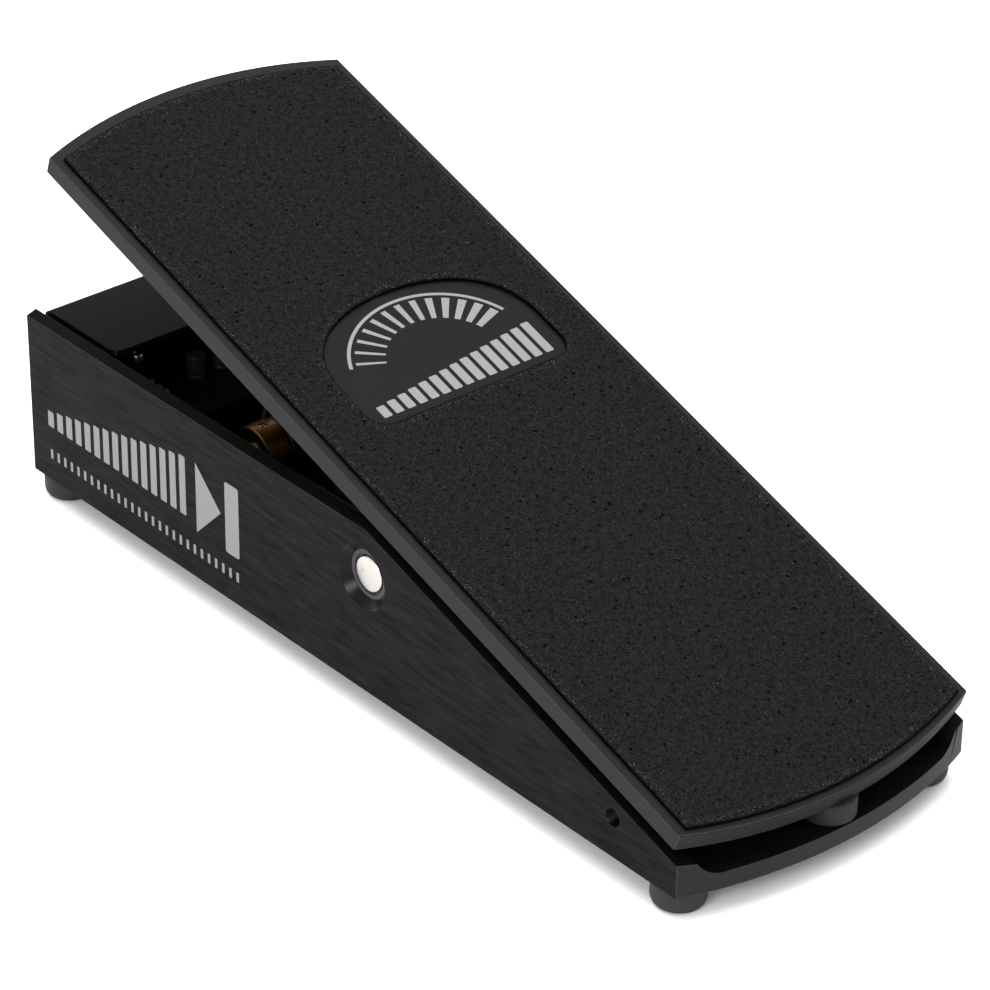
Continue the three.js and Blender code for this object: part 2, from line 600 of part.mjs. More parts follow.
function addPotentiometer(pedal) {
  const axis = [0, DRUM.y, DRUM.z];
  piece(pedal, 'pot_bracket', potBracketGeometry(), FINISH.steel());
  for (const [label, x, y] of POT_SCREWS) {
    const seat = FLOOR_TOP + POT.sheet + 2 * GAP;
    piece(pedal, `pot_bracket_screw_${label}`, panScrew(4.8), FINISH.steel(), [x, y, seat]);
  }
  piece(pedal, 'potentiometer', potGeometry(), FINISH.steel(), axis);
  const bore = POT.bushing + 0.15;
  const nut = without(solid(prismX(hexagon(12), POT.plate - 2.5, POT.plate - 0.8)), [
    turnedX(rod(bore, POT.plate - 4, POT.plate), 16),
  ]);
  piece(pedal, 'pot_nut', asGeometry(nut), FINISH.steel(), axis);
  const washer = turnedX(tube(bore, 7.4, POT.plate - 0.7, POT.plate - GAP), 16);
  piece(pedal, 'pot_washer', asGeometry(solid(washer)), FINISH.steel(), axis);
  piece(pedal, 'pot_lead', leadGeometry(), FINISH.lead());

  const drum = new THREE.Group();
  drum.position.set(...axis);
  pedal.add(drum);
  const shaft = rodX(POT.shaft, DRUM.start - 0.8, POT.plate + POT.sheet + 5, 0, 0, 14);
  piece(drum, 'pot_shaft', shaft, FINISH.steel());
  piece(drum, 'cord_drum', drumGeometry(), FINISH.brass());
  piece(drum, 'drum_set_screw', asGeometry(without(
    solid(rodZ(1.05, POT.shaft + 0.2, DRUM.hub - 0.6, 0, 0)),
    [prismZ(hexagon(1.1), DRUM.hub - 2, DRUM.hub)],
  )), FINISH.steel(), [DRUM.start + 3.8, 0, 0]);

  const axisZ = DRUM.z - CORD_ARM;
  piece(pedal, 'drive_cord', cordGeometry(), FINISH.cord());
  piece(pedal, 'cord_clip', clipGeometry(), FINISH.brass(), [CORD.tailX, 0, axisZ]);
  piece(pedal, 'tension_spring', springGeometry(), FINISH.steel());
  piece(pedal, 'spring_post', springPostGeometry(), FINISH.steel(), [CORD.tailX, SPRING.postY, FLOOR_TOP]);
}

// ---------------------------------------------------------------- treadle

const BLOCK = { halfWidth: 43.6, halfDepth: 11, bottom: -8 };
const BLOCK_SCREWS = [
  ['heel_left', -30, -5.5], ['heel_right', 30, -5.5], ['toe_left', -30, 5.5], ['toe_right', 30, 5.5],
];
const COUNTERSINK = { head: 3.2, height: 1.9 };

// The countersink and clearance hole for one of the screws that hold the pivot block.
function screwSeat([, x, v]) {
  const { head, height } = COUNTERSINK;
  const top = TREADLE_TOP;
  const below = TREADLE.underside - 1;
  const hole = SCREW.hole + 0.05;
  const mouth = head + 0.3;
  return turnedZ([
    [0, below], [hole, below], [hole, top - height - 0.15], [mouth, top - 0.1],
    [mouth, top + 1], [0, top + 1],
  ], 12).translate(x, v, 0);
}

function treadlePlateGeometry() {
  const plan = bowedPlan(HALF_WIDTH, TREADLE.heel, TREADLE.toe, END_RADIUS);
  return asGeometry(without(solid(prismZ(plan, TREADLE.underside, TREADLE_TOP, BOW_STEPS)), [
    ...BLOCK_SCREWS.map(screwSeat),
    rodZ(SCREW.hole, TREADLE.underside - 1, TREADLE_TOP + 1, CORD.anchorX, ANCHOR.v),
  ]));
}

// The bare patch in the grip pad: straight at its foot, and domed towards the toe.
function windowShape() {
  const { x, v, halfWidth, straight, height } = WINDOW;
  const corner = 6;
  const pull = (halfWidth - corner) * 0.55;
  const shoulder = v + height - 6;
  const shape = new THREE.Shape();
  shape.absarc(x + halfWidth - corner, v + corner, corner, -Math.PI / 2, 0, false);
  shape.lineTo(x + halfWidth, v + straight);
  shape.bezierCurveTo(x + halfWidth, shoulder, x + pull, v + height, x, v + height);
  shape.bezierCurveTo(x - pull, v + height, x - halfWidth, shoulder, x - halfWidth, v + straight);
  shape.absarc(x - halfWidth + corner, v + corner, corner, Math.PI, 1.5 * Math.PI, false);
  shape.closePath();
  return shape;
}

function gripPadGeometry() {
  const { rim, heel, toe, endRadius, thickness } = PAD;
  const base = TREADLE_TOP + GAP;
  const plan = bowedPlan(HALF_WIDTH - rim, heel, toe, endRadius);
  return asGeometry(without(solid(prismZ(plan, base, base + thickness, BOW_STEPS)), [
    prismZ(windowShape(), base - 1, base + thickness + 1, 8),
  ]));
}

function pivotBlockGeometry() {
  const { halfWidth, halfDepth, bottom } = BLOCK;
  const top = TREADLE.underside - GAP;
  const chamfer = 4;
  const section = polygon([
    [-halfDepth, top], [-halfDepth, bottom + chamfer], [chamfer - halfDepth, bottom],
    [halfDepth - chamfer, bottom], [halfDepth, bottom + chamfer], [halfDepth, top],
  ]);
  return asGeometry(without(solid(prismX(section, -halfWidth, halfWidth)), [
    turnedX(rod(SHAFT_RADIUS + 0.25, -halfWidth - 1, halfWidth + 1), 24),
    ...BLOCK_SCREWS.map(([, x, v]) => rodZ(SCREW.hole, top - 9, top + 1, x, v)),
    rodY(2.2, -halfDepth - 1, 0, -20, 0, 10),
  ]));
}

function countersunkScrewGeometry() {
  const { head, height } = COUNTERSINK;
  const body = turnedZ([
    [0, -12], [SCREW.shank, -12], [SCREW.shank, -height], [head, -0.2], [head, 0], [0, 0],
  ], 12);
  return asGeometry(without(solid(body), [box(-head - 1, head + 1, -0.35, 0.35, -1, 1)]));
}

function addTreadle(pedal) {
  const treadle = new THREE.Group();
  treadle.position.set(0, PIVOT.y, PIVOT.z);
  treadle.rotation.x = REST_TILT;
  pedal.add(treadle);

  piece(treadle, 'treadle_plate', treadlePlateGeometry(), FINISH.blackAluminium());
  piece(treadle, 'grip_pad', gripPadGeometry(), FINISH.grip());
  piece(treadle, 'pivot_block', pivotBlockGeometry(), FINISH.greyAluminium());
  for (const [label, x, v] of BLOCK_SCREWS) {
    piece(treadle, `block_screw_${label}`, countersunkScrewGeometry(), FINISH.steel(),
      [x, v, TREADLE_TOP - GAP]);
  }
  const shaftEnd = HALF_WIDTH - BUSHING_RECESS + 0.1;
  piece(treadle, 'pivot_shaft', asGeometry(solid(turnedX([
    [0, -shaftEnd], [SHAFT_RADIUS - 0.4, -shaftEnd], [SHAFT_RADIUS, 0.4 - shaftEnd],
    [SHAFT_RADIUS, shaftEnd - 0.4], [SHAFT_RADIUS - 0.4, shaftEnd], [0, shaftEnd],
  ], 36))), FINISH.steel());
  const grub = without(solid(rodY(1.95, -BLOCK.halfDepth + 0.5, -SHAFT_RADIUS - 0.15, 0, 0, 10)), [
    prismY(hexagon(2), -BLOCK.halfDepth, -BLOCK.halfDepth + 2.5),
  ]);
  piece(treadle, 'shaft_set_screw', asGeometry(grub), FINISH.steel(), [-20, 0, 0]);

  for (const [label, side] of SIDES) {
    const { x, v, radius, height } = TOE_BUMPER;
    const bumper = turnedZ([
      [0, -height], [radius - 0.8, -height], [radius, 0.8 - height], [radius, 0], [0, 0],
    ], 20);
    piece(treadle, `toe_bumper_${label}`, asGeometry(solid(bumper)), FINISH.rubber(),
      [side * x, v, TREADLE.underside - GAP]);
  }
  const top = TREADLE.underside - GAP;
  piece(treadle, 'cord_anchor', asGeometry(solid(turnedZ([
    [0, ANCHOR.w], [ANCHOR.radius - 0.5, ANCHOR.w], [ANCHOR.radius, ANCHOR.w + 0.5], [ANCHOR.radius, top],
    [SCREW.shank, top], [SCREW.shank, TREADLE_TOP - 0.4], [0, TREADLE_TOP - 0.4],
  ], 16))), FINISH.brass(), [CORD.anchorX, ANCHOR.v, 0]);
}

// ---------------------------------------------------------------- the whole pedal

const pedal = new THREE.Group();
addHousing(pedal);
addJacks(pedal);
addPotentiometer(pedal);
addTreadle(pedal);

export default pedal;
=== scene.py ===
# A foot volume pedal: finishes and fine detail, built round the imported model.
# Metres. +X is to the right, +Y to the toe end and +Z up. The treadle's own frame has x across,
# v along it to the toe and w square to it, and starts at its pivot.
import json
from math import acos, atan2, cos, pi, radians, sin, sqrt

import bmesh
import bpy
from mathutils import Matrix, Vector, noise


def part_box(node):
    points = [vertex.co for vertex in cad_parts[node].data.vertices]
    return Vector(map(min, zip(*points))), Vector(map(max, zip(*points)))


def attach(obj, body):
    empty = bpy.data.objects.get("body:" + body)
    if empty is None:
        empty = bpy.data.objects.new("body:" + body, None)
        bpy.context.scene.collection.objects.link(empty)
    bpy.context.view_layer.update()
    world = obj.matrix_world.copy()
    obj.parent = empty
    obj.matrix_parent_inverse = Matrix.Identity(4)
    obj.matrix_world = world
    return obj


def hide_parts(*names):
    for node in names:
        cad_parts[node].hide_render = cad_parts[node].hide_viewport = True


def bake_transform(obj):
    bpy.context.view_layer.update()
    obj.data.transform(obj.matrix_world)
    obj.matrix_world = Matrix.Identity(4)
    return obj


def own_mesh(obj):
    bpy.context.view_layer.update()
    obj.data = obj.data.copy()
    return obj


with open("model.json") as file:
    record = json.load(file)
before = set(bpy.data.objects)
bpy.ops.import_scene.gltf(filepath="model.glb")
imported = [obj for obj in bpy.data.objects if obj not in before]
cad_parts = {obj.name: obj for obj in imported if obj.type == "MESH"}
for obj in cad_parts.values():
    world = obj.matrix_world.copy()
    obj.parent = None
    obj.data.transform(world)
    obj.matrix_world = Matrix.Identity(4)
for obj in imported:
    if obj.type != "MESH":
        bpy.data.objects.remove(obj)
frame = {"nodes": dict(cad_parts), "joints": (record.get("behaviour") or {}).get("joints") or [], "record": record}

# ---- camera, light and floor

CAMERA_AZIMUTH = -40.852
CAMERA_ELEVATION = 30.74
CAMERA_ROLL = 0.616
CAMERA_DISTANCE = 1.1031
CAMERA_LENS = 150.74
CAMERA_TARGET = Vector((0, -0.00844, 0.04545))

WORLD_LIGHT = 1.2
LIGHTS = {      # place, target, width and length, power
    "overhead": ((0.1, 0.3, 1.6), (0, 0, 0), (2.2, 2.2), 36),
    "left": ((-1.5, -0.6, 0.9), (0, 0, 0.03), (0.5, 0.5), 12),
}
FLOOR_REACH = 30
FLOOR_COLOR = (0.93, 0.93, 0.93)

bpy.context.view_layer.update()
NODES = frame["nodes"]
JOINTS = {joint["name"]: joint for joint in frame["joints"]}
PIVOT = Vector(JOINTS["treadle_pivot"]["pos_m"])


def in_scene(obj):
    bpy.context.scene.collection.objects.link(obj)
    return obj


def add_camera():
    azimuth, elevation = radians(CAMERA_AZIMUTH), radians(CAMERA_ELEVATION)
    back = Vector((sin(azimuth) * cos(elevation),
                   -cos(azimuth) * cos(elevation), sin(elevation)))
    level = Vector((cos(azimuth), sin(azimuth), 0))
    turned = Matrix.Rotation(radians(CAMERA_ROLL), 3, back) @ level
    axes = Matrix((turned, back.cross(turned), back)).transposed()
    data = bpy.data.cameras.new("camera")
    data.lens = CAMERA_LENS
    camera = in_scene(bpy.data.objects.new("camera", data))
    place = axes.to_4x4()
    place.translation = CAMERA_TARGET + back * CAMERA_DISTANCE
    camera.matrix_world = place
    bpy.context.scene.camera = camera


def add_light(name, place, target, size, power):
    data = bpy.data.lights.new(name, "AREA")
    data.shape = "RECTANGLE"
    data.size, data.size_y = size
    data.energy = power
    light = in_scene(bpy.data.objects.new(name, data))
    light.location = place
    light.rotation_euler = (Vector(target) - Vector(place)).to_track_quat("-Z", "Y").to_euler()


def add_studio():
    world = bpy.data.worlds.new("studio")
    world.use_nodes = True
    sky = world.node_tree.nodes["Background"].inputs
    sky["Color"].default_value = (1, 1, 1, 1)
    sky["Strength"].default_value = WORLD_LIGHT
    scene = bpy.context.scene
    scene.world, scene.view_settings.view_transform = world, "Standard"
    for name, settings in LIGHTS.items():
        add_light(name, *settings)

    plane = bpy.data.meshes.new("floor")
    corners = [(x * FLOOR_REACH, y * FLOOR_REACH, 0) for x, y in ((-1, -1), (1, -1), (1, 1), (-1, 1))]
    plane.from_pydata(corners, [], [(0, 1, 2, 3)])
    plane.materials.append(floor_finish())
    floor = in_scene(bpy.data.objects.new("floor", plane))


# ---- finishes

# Where painted shade darkens the plate, in the pad's window.
WINDOW_SHADE_PATCH = {"half_width": 0.04, "middle": 0.028, "half_length": 0.028}   # on the treadle plate
COUNTERSINK_RADIUS = 0.0105


class Tree:
    """A node tree that is being built."""

    def __init__(self, tree):
        self.tree = tree

    def link(self, source, target):
        self.tree.links.new(source, target)

    def feed(self, socket, value):
        """Sets an input to a fixed value, or links another node's output to it."""
        if isinstance(value, bpy.types.NodeSocket):
            self.link(value, socket)
        else:
            socket.default_value = value

    def node(self, kind, values=(), **settings):
        """A new node. values has its inputs by name."""
        made = self.tree.nodes.new(kind)
        for key, value in settings.items():
            setattr(made, key, value)
        for key, value in dict(values).items():
            self.feed(made.inputs[key], value)
        return made

    def calc(self, kind, operation, *values):
        """The outputs of a node that calculates with the values."""
        made = self.node(kind, operation=operation)
        for socket, value in zip(made.inputs, values):
            self.feed(socket, value)
        return made.outputs

    def vector(self, operation, *values):
        return self.calc("ShaderNodeVectorMath", operation, *values)


class Finish(Tree):
    """A material's shader and the procedural nodes that feed it."""

    def __init__(self, name, color, roughness, metallic=0.0, specular=0.5):
        self.material = bpy.data.materials.new(name)
        self.material.use_nodes = True
        super().__init__(self.material.node_tree)
        self.inputs = self.tree.nodes["Principled BSDF"].inputs
        for key, value in (("Base Color", (*color, 1)), ("Roughness", roughness),
                           ("Metallic", metallic), ("Specular IOR Level", specular)):
            self.inputs[key].default_value = value
        where = self.node("ShaderNodeTexCoord").outputs
        self.place, self.normal = where["Object"], where["Normal"]

    def spread(self, scale=(1, 1, 1)):
        """Object coordinates, scaled apart along each axis."""
        return self.node("ShaderNodeMapping", {"Scale": scale, "Vector": self.place}).outputs["Vector"]

    def noise(self, scale, detail=3.0, stretch=(1, 1, 1), roughness=0.6):
        return self.node("ShaderNodeTexNoise", {"Scale": scale, "Detail": detail, "Roughness": roughness,
                                                "Vector": self.spread(stretch)}).outputs["Fac"]

    def cells(self, scale):
        made = self.node("ShaderNodeTexVoronoi", {"Scale": scale, "Vector": self.spread()})
        return made.outputs["Distance"]

    def dots(self, scale, inner, outer):
        """Round dots scattered over the object's XY plane, with their radii in cell widths."""
        made = self.node("ShaderNodeTexVoronoi", {"Scale": scale, "Vector": self.place},
                         voronoi_dimensions="2D")
        return self.span(made.outputs["Distance"], outer, inner)

    def attribute(self, name):
        return self.node("ShaderNodeAttribute", attribute_name=name).outputs["Fac"]

    def span(self, value, low, high, to_low=0.0, to_high=1.0):
        """A value between low and high, carried to the range to_low to to_high."""
        return self.node("ShaderNodeMapRange", {"Value": value, "From Min": low, "From Max": high,
                                                "To Min": to_low, "To Max": to_high}).outputs["Result"]

    def math(self, operation, *values):
        return self.calc("ShaderNodeMath", operation, *values)["Value"]

    def plus(self, a, b):
        return self.math("ADD", a, b)

    def times(self, a, b):
        return self.math("MULTIPLY", a, b)

    def larger(self, a, b):
        return self.math("MAXIMUM", a, b)

    def mix(self, share, a, b):
        """Colour a where share is 0 and colour b where it is 1."""
        made = self.node("ShaderNodeMix", data_type="RGBA")
        self.link(share, made.inputs[0])
        for socket, value in ((made.inputs[6], a), (made.inputs[7], b)):
            self.feed(socket, (*value, 1) if isinstance(value, tuple) else value)
        return made.outputs[2]

    def split(self, vector):
        return self.node("ShaderNodeSeparateXYZ", {"Vector": vector}).outputs

    def facing(self, axis):
        """How much the surface faces along an axis of the object, from 0 to 1."""
        return self.math("ABSOLUTE", self.split(self.normal)[axis])

    def edge_highlight(self, low, high):
        """The mask of a painted highlight: 1 along bevelled edges on the object's outside, broken up a little, and
        0 elsewhere.
        """
        size = self.split(self.vector("ABSOLUTE", self.normal)["Vector"])
        most = self.larger(size["X"], self.larger(size["Y"], size["Z"]))
        breakup = self.span(self.noise(800, 3), 0.35, 0.6, 0.35, 1)
        outward = self.vector("DOT_PRODUCT", self.normal, self.spread((1, 0.35, 0)))["Value"]
        outside = self.times(breakup, self.math("GREATER_THAN", outward, 0.002))
        return self.times(self.span(most, 1 - low, 1 - high), outside)

    def window_shade(self):
        """1 on the plate's top in the pad's window, which is darkened with painted shade that stands for the
        shadow of the pad round it.
        """
        at = self.split(self.place)
        across = self.math("LESS_THAN", self.math("ABSOLUTE", at["X"]), WINDOW_SHADE_PATCH["half_width"])
        from_middle = self.math("ABSOLUTE", self.math("SUBTRACT", at["Y"], WINDOW_SHADE_PATCH["middle"]))
        along = self.math("LESS_THAN", from_middle, WINDOW_SHADE_PATCH["half_length"])
        return self.times(across, self.times(along, self.span(self.facing("Z"), 0.8, 0.9)))

    def near_bore(self):
        """1 on the countersinks round the pivot."""
        offset = self.vector("SUBTRACT", self.place, PIVOT)["Vector"]
        flat = self.vector("MULTIPLY", offset, (0, 1, 1))["Vector"]
        inside = self.math("LESS_THAN", self.vector("LENGTH", flat)["Value"], COUNTERSINK_RADIUS)
        return self.times(inside, self.span(self.facing("X"), 0.95, 0.85))

    def color(self, value):
        self.link(value, self.inputs["Base Color"])

    def roughness(self, value, to_low, to_high, low=0.3, high=0.7):
        self.link(self.span(value, low, high, to_low, to_high), self.inputs["Roughness"])

    def bump(self, value, distance, strength):
        made = self.node("ShaderNodeBump", {"Height": value, "Distance": distance, "Strength": strength})
        if self.inputs["Normal"].links:
            self.link(self.inputs["Normal"].links[0].from_socket, made.inputs["Normal"])
        self.link(made.outputs["Normal"], self.inputs["Normal"])


def tone(level, warmth=0.04):
    """A dark neutral, very slightly warm."""
    return (level, level, level * (1 - warmth))


def shade(color, factor):
    return tuple(min(channel * factor, 1) for channel in color)


def floor_finish():
    finish = Finish("floor", FLOOR_COLOR, 0.9, specular=0.0)
    finish.color(finish.mix(finish.noise(3), FLOOR_COLOR, (0.935, 0.935, 0.935)))
    return finish.material


def brushed_black():
    """Black anodised aluminium, brushed lengthwise on its sides and sawn and blacked on its ends, with a painted
    highlight along its bevelled edges.
    """
    finish = Finish("brushed_black", tone(0.008), 0.5, specular=0.03)
    grain = finish.noise(1500, 2, (1, 0.07, 1))
    streaks = finish.noise(520, 3, (1, 0.11, 1), 0.65)
    patches = finish.noise(35, 2)
    saw = finish.noise(900, 4, (0.05, 1, 1))
    lay = finish.plus(finish.span(grain, 0.3, 0.7, 0, 0.5), finish.span(streaks, 0.36, 0.64, 0, 0.5))
    sides = finish.mix(lay, tone(0.0012), tone(0.0132))
    ends = finish.mix(finish.span(saw, 0.22, 0.78), (0.0068, 0.0057, 0.0049), (0.0138, 0.0118, 0.0103))
    tops = finish.mix(finish.span(patches, 0.3, 0.7), tone(0.0022), tone(0.0042))
    across = finish.span(finish.facing("Y"), 0.5, 0.7)
    above = finish.span(finish.facing("Z"), 0.6, 0.8)
    faces = finish.mix(above, finish.mix(across, sides, ends), tops)
    bowl = finish.near_bore()
    beside = finish.math("SUBTRACT", 1, bowl)
    # painted highlight along the bevelled edges, kept off the countersinks
    edge = finish.times(finish.edge_highlight(0.07, 0.25), beside)
    finish.color(finish.mix(bowl, finish.mix(edge, faces, tone(0.042)), tone(0.001)))
    sheen = finish.times(finish.times(across, 0.12), beside)
    dull = finish.plus(finish.span(above, 0, 1, 0.03, 0.012), sheen)
    finish.link(finish.plus(dull, finish.times(bowl, 0.11)), finish.inputs["Specular IOR Level"])
    finish.roughness(bowl, 0.5, 0.27, 0, 1)
    finish.bump(grain, 0.00002, 0.4)
    return finish.material


def satin_black():
    """Blasted and anodised aluminium, with a painted highlight along its edges and painted shade on the plate in
    the pad's window.
    """
    finish = Finish("satin_black", tone(0.015), 0.5, specular=0.06)
    fine = finish.noise(2400, 2)
    broad = finish.noise(60, 4)
    share = finish.plus(finish.span(fine, 0.3, 0.7, 0, 0.5), finish.span(broad, 0.35, 0.65, 0, 0.5))
    side = finish.span(finish.facing("X"), 0.75, 0.9)
    along = finish.mix(share, tone(0.0150), tone(0.0235))
    faces = finish.mix(side, finish.mix(share, tone(0.0075), tone(0.0125)), along)
    # painted shade on the plate in the pad's window
    faces = finish.mix(finish.window_shade(), faces, finish.mix(share, tone(0.0042), tone(0.0072)))
    # painted highlight along the bevelled edges
    finish.color(finish.mix(finish.edge_highlight(0.07, 0.25), faces, tone(0.05)))
    finish.roughness(broad, 0.42, 0.56)
    finish.bump(fine, 0.00002, 0.35)
    return finish.material


def grip_surface():
    """A bonded sheet of grit: painted glints speckle it, most of them along its cut edge, and painted shade
    darkens its pits and a line along its edge.
    """
    finish = Finish("grip_surface", tone(0.009), 0.8, specular=0.03)
    grit = finish.noise(1900, 4, roughness=0.8)
    clumps = finish.noise(520, 3)
    share = finish.plus(finish.span(grit, 0.34, 0.66, 0, 0.8), finish.span(clumps, 0.36, 0.64, 0, 0.2))
    body = finish.mix(share, tone(0.0002), tone(0.0172))
    # painted glints: bright specks stand for light caught by single grains, most of them near the cut edge
    edge_glints = finish.times(finish.attribute("band"), finish.span(finish.noise(800, 1), 0.42, 0.52))
    glint_spots = finish.larger(finish.span(finish.noise(1100, 2), 0.63, 0.69), edge_glints)
    glints = finish.times(finish.span(finish.cells(1900), 0.28, 0.12), glint_spots)
    glinting = finish.mix(glints, body, tone(0.12))
    thinned = finish.span(finish.noise(130, 2), 0.44, 0.54)
    large = finish.times(finish.dots(150, 0.05, 0.09), thinned)
    small = finish.times(finish.dots(340, 0.06, 0.12), 0.8)
    # painted shade: the pits and the line along the pad's edge are made near black
    pits = finish.larger(finish.larger(large, small), finish.attribute("edge_shadow"))
    finish.color(finish.mix(pits, glinting, tone(0.0004)))
    finish.roughness(share, 0.95, 0.7, 0, 1)
    finish.bump(finish.math("SUBTRACT", 1, pits), 0.0003, 0.8)
    finish.bump(grit, 0.0002, 0.9)
    return finish.material


def gloss_black():
    """Smooth black powder coat with a blue cast, and a painted highlight along its edges."""
    finish = Finish("gloss_black", (0.0017, 0.0019, 0.0025), 0.2, specular=0.018)
    peel = finish.noise(350, 2)
    base = finish.mix(finish.span(peel, 0.3, 0.7), (0.0014, 0.0016, 0.0021), (0.0019, 0.0022, 0.0028))
    # painted highlight along the edges
    finish.color(finish.mix(finish.edge_highlight(0.12, 0.3), base, (0.022, 0.024, 0.028)))
    finish.roughness(finish.noise(60, 3), 0.18, 0.26)
    finish.bump(peel, 0.00002, 0.2)
    return finish.material


def moulded(name, color, roughness, specular, grain=1800, depth=0.00003):
    """Moulded rubber or plastic: a fine grain, with dust and wear in slow patches."""
    finish = Finish(name, color, roughness, specular=specular)
    fine = finish.noise(grain, 3)
    wear = finish.noise(90, 4)
    share = finish.plus(finish.span(fine, 0.3, 0.7, 0, 0.5), finish.span(wear, 0.35, 0.7, 0, 0.5))
    finish.color(finish.mix(share, shade(color, 0.75), shade(color, 1.3)))
    finish.roughness(wear, roughness - 0.08, min(roughness + 0.1, 1))
    finish.bump(fine, depth, 0.5)
    return finish.material


def metal(name, color, roughness, turned=False):
    """Bare or plated metal: fine marks all over, or rings round Z where it is turned."""
    finish = Finish(name, color, roughness, metallic=1.0)
    marks = finish.noise(1400, 4, (1, 1, 12) if turned else (1, 0.2, 1))
    smears = finish.noise(140, 3)
    finish.color(finish.mix(smears, shade(color, 0.86), shade(color, 1.08)))
    finish.roughness(marks, roughness * 0.75, roughness * 1.35)
    finish.bump(marks, 0.00001, 0.3)
    return finish.material


def polished_shaft():
    """Ground steel: nearly white, with faint scuffs and stains."""
    finish = Finish("polished_shaft", (0.9, 0.89, 0.86), 0.22, metallic=1.0)
    scuffs = finish.noise(700, 5, (1, 1, 0.4), 0.75)
    stained = finish.span(finish.noise(260, 4), 0.62, 0.72)
    finish.color(finish.mix(stained, (0.54, 0.52, 0.485), (0.32, 0.30, 0.27)))
    finish.roughness(scuffs, 0.16, 0.34)
    finish.bump(scuffs, 0.00001, 0.4)
    return finish.material


def speckled(name, color, roughness, specular, scale, dark, light, rough, depth, strength):
    """Ink or cord: one fine noise drives its colour, its roughness and its relief."""
    finish = Finish(name, color, roughness, specular=specular)
    specks = finish.noise(scale, 3)
    finish.color(finish.mix(finish.span(specks, 0.3, 0.7), dark, light))
    finish.roughness(specks, *rough)
    finish.bump(specks, depth, strength)
    return finish.material


def solder_mask():
    """Green mask over glass fibre and copper tracks, darkened far below its own colour as painted shade under the
    cover.
    """
    finish = Finish("solder_mask", (0.003, 0.012, 0.007), 0.35, specular=0.2)
    tracks = finish.node("ShaderNodeTexBrick", {"Scale": 260, "Mortar Size": 0.16, "Brick Width": 2.4,
                                                "Row Height": 0.55, "Vector": finish.spread()}).outputs["Fac"]
    # painted shade: both track colours are darkened for the dark inside of the housing
    finish.color(finish.mix(tracks, (0.0009, 0.0034, 0.0020), (0.0018, 0.0062, 0.0033)))
    finish.roughness(finish.noise(800), 0.28, 0.45)
    finish.bump(tracks, 0.00004, 0.5)
    return finish.material


MOULDED = {     # colour, roughness, specular, grain, depth
    "bushing_grey": ((0.048, 0.048, 0.049), 0.4, 0.1, 2400, 0.00001),
    "foot_rubber": ((0.028, 0.028, 0.0272), 0.55, 0.1),
    "bumper_grey_rubber": ((0.022, 0.022, 0.0213), 0.62, 0.08),
    "plastic_black": ((0.010, 0.010, 0.0105), 0.45, 0.2),
    "capacitor_brown": ((0.16, 0.045, 0.015), 0.4, 0.3, 1200, 0.00002),
    "lead_red": ((0.2, 0.015, 0.012), 0.5, 0.2),
}
METALS = {      # colour, roughness, turned or not
    "block_aluminium": ((0.2, 0.202, 0.205), 0.35),
    "bright_steel": ((0.5, 0.5, 0.49), 0.24, True),
    "dull_steel": ((0.07, 0.07, 0.068), 0.55),
    "screw_black": ((0.05, 0.05, 0.052), 0.4, True),
    # The brass is darkened far below bare brass: painted shade for the dark inside of the housing, where its drum
    # sits.
    "brass": ((0.14, 0.07, 0.02), 0.36),
}
MATERIALS = {
    "housing_black": brushed_black(),
    "treadle_black": satin_black(),
    "grip_surface": grip_surface(),
    "cover_gloss_black": gloss_black(),
    "shaft_steel": polished_shaft(),
    "board_green": solder_mask(),
    "cord_dark": speckled("braided_cord", (0.03, 0.025, 0.02), 0.8, 0.15, 3200, (0.014, 0.011, 0.008),
                          (0.05, 0.04, 0.029), (0.7, 0.9), 0.00006, 0.7),
    "printed_silver": speckled("printed_silver", (0.4, 0.4, 0.395), 0.6, 0.3, 1600, (0.175, 0.175, 0.171),
                               (0.215, 0.215, 0.21), (0.52, 0.68), 0.00001, 0.4),
    **{name: moulded(name, *values) for name, values in MOULDED.items()},
    **{name: metal(name, *values) for name, values in METALS.items()},
}

# ---- mesh helpers

TILT = radians(JOINTS["treadle_pivot"]["range_deg"][1])
ON_TREADLE = Matrix.Translation(PIVOT) @ Matrix.Rotation(TILT, 4, "X")


def box_in(node, place):
    """The lowest and highest corner of a CAD node, measured in another frame."""
    back = place.inverted()
    points = [back @ vertex.co for vertex in NODES[node].data.vertices]
    return [Vector([pick(p[k] for p in points) for k in range(3)]) for pick in (min, max)]


def middle(node):
    low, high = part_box(node)
    return (low + high) / 2


def over(node, z):
    """The place at height z on a node's upright axis."""
    return Matrix.Translation((middle(node).x, middle(node).y, z))


def on_pivot(x, angle=pi / 2):
    """The place at x on the pivot's axis, with Z turned along it."""
    return Matrix.Translation((x, PIVOT.y, PIVOT.z)) @ Matrix.Rotation(angle, 4, "Y")


def polar(radius, angle):
    return radius * cos(angle), radius * sin(angle)


def finished(mesh_or_bmesh, name):
    """A mesh, made from the bmesh if it isn't one yet."""
    if isinstance(mesh_or_bmesh, bpy.types.Mesh):
        return mesh_or_bmesh
    mesh = bpy.data.meshes.new(name)
    bmesh.ops.recalc_face_normals(mesh_or_bmesh, faces=mesh_or_bmesh.faces)
    mesh_or_bmesh.to_mesh(mesh)
    mesh_or_bmesh.free()
    return mesh


def new_piece(name, shape, finish, place=None, smooth=35):
    """A new object in its place. Edges sharper than smooth degrees stay sharp."""
    mesh = finished(shape, name)
    mesh.materials.append(MATERIALS[finish])
    mesh.shade_smooth()
    mesh.set_sharp_from_angle(angle=radians(smooth))
    piece = in_scene(bpy.data.objects.new(name, mesh))
    piece.matrix_world = place or Matrix.Identity(4)
    return piece


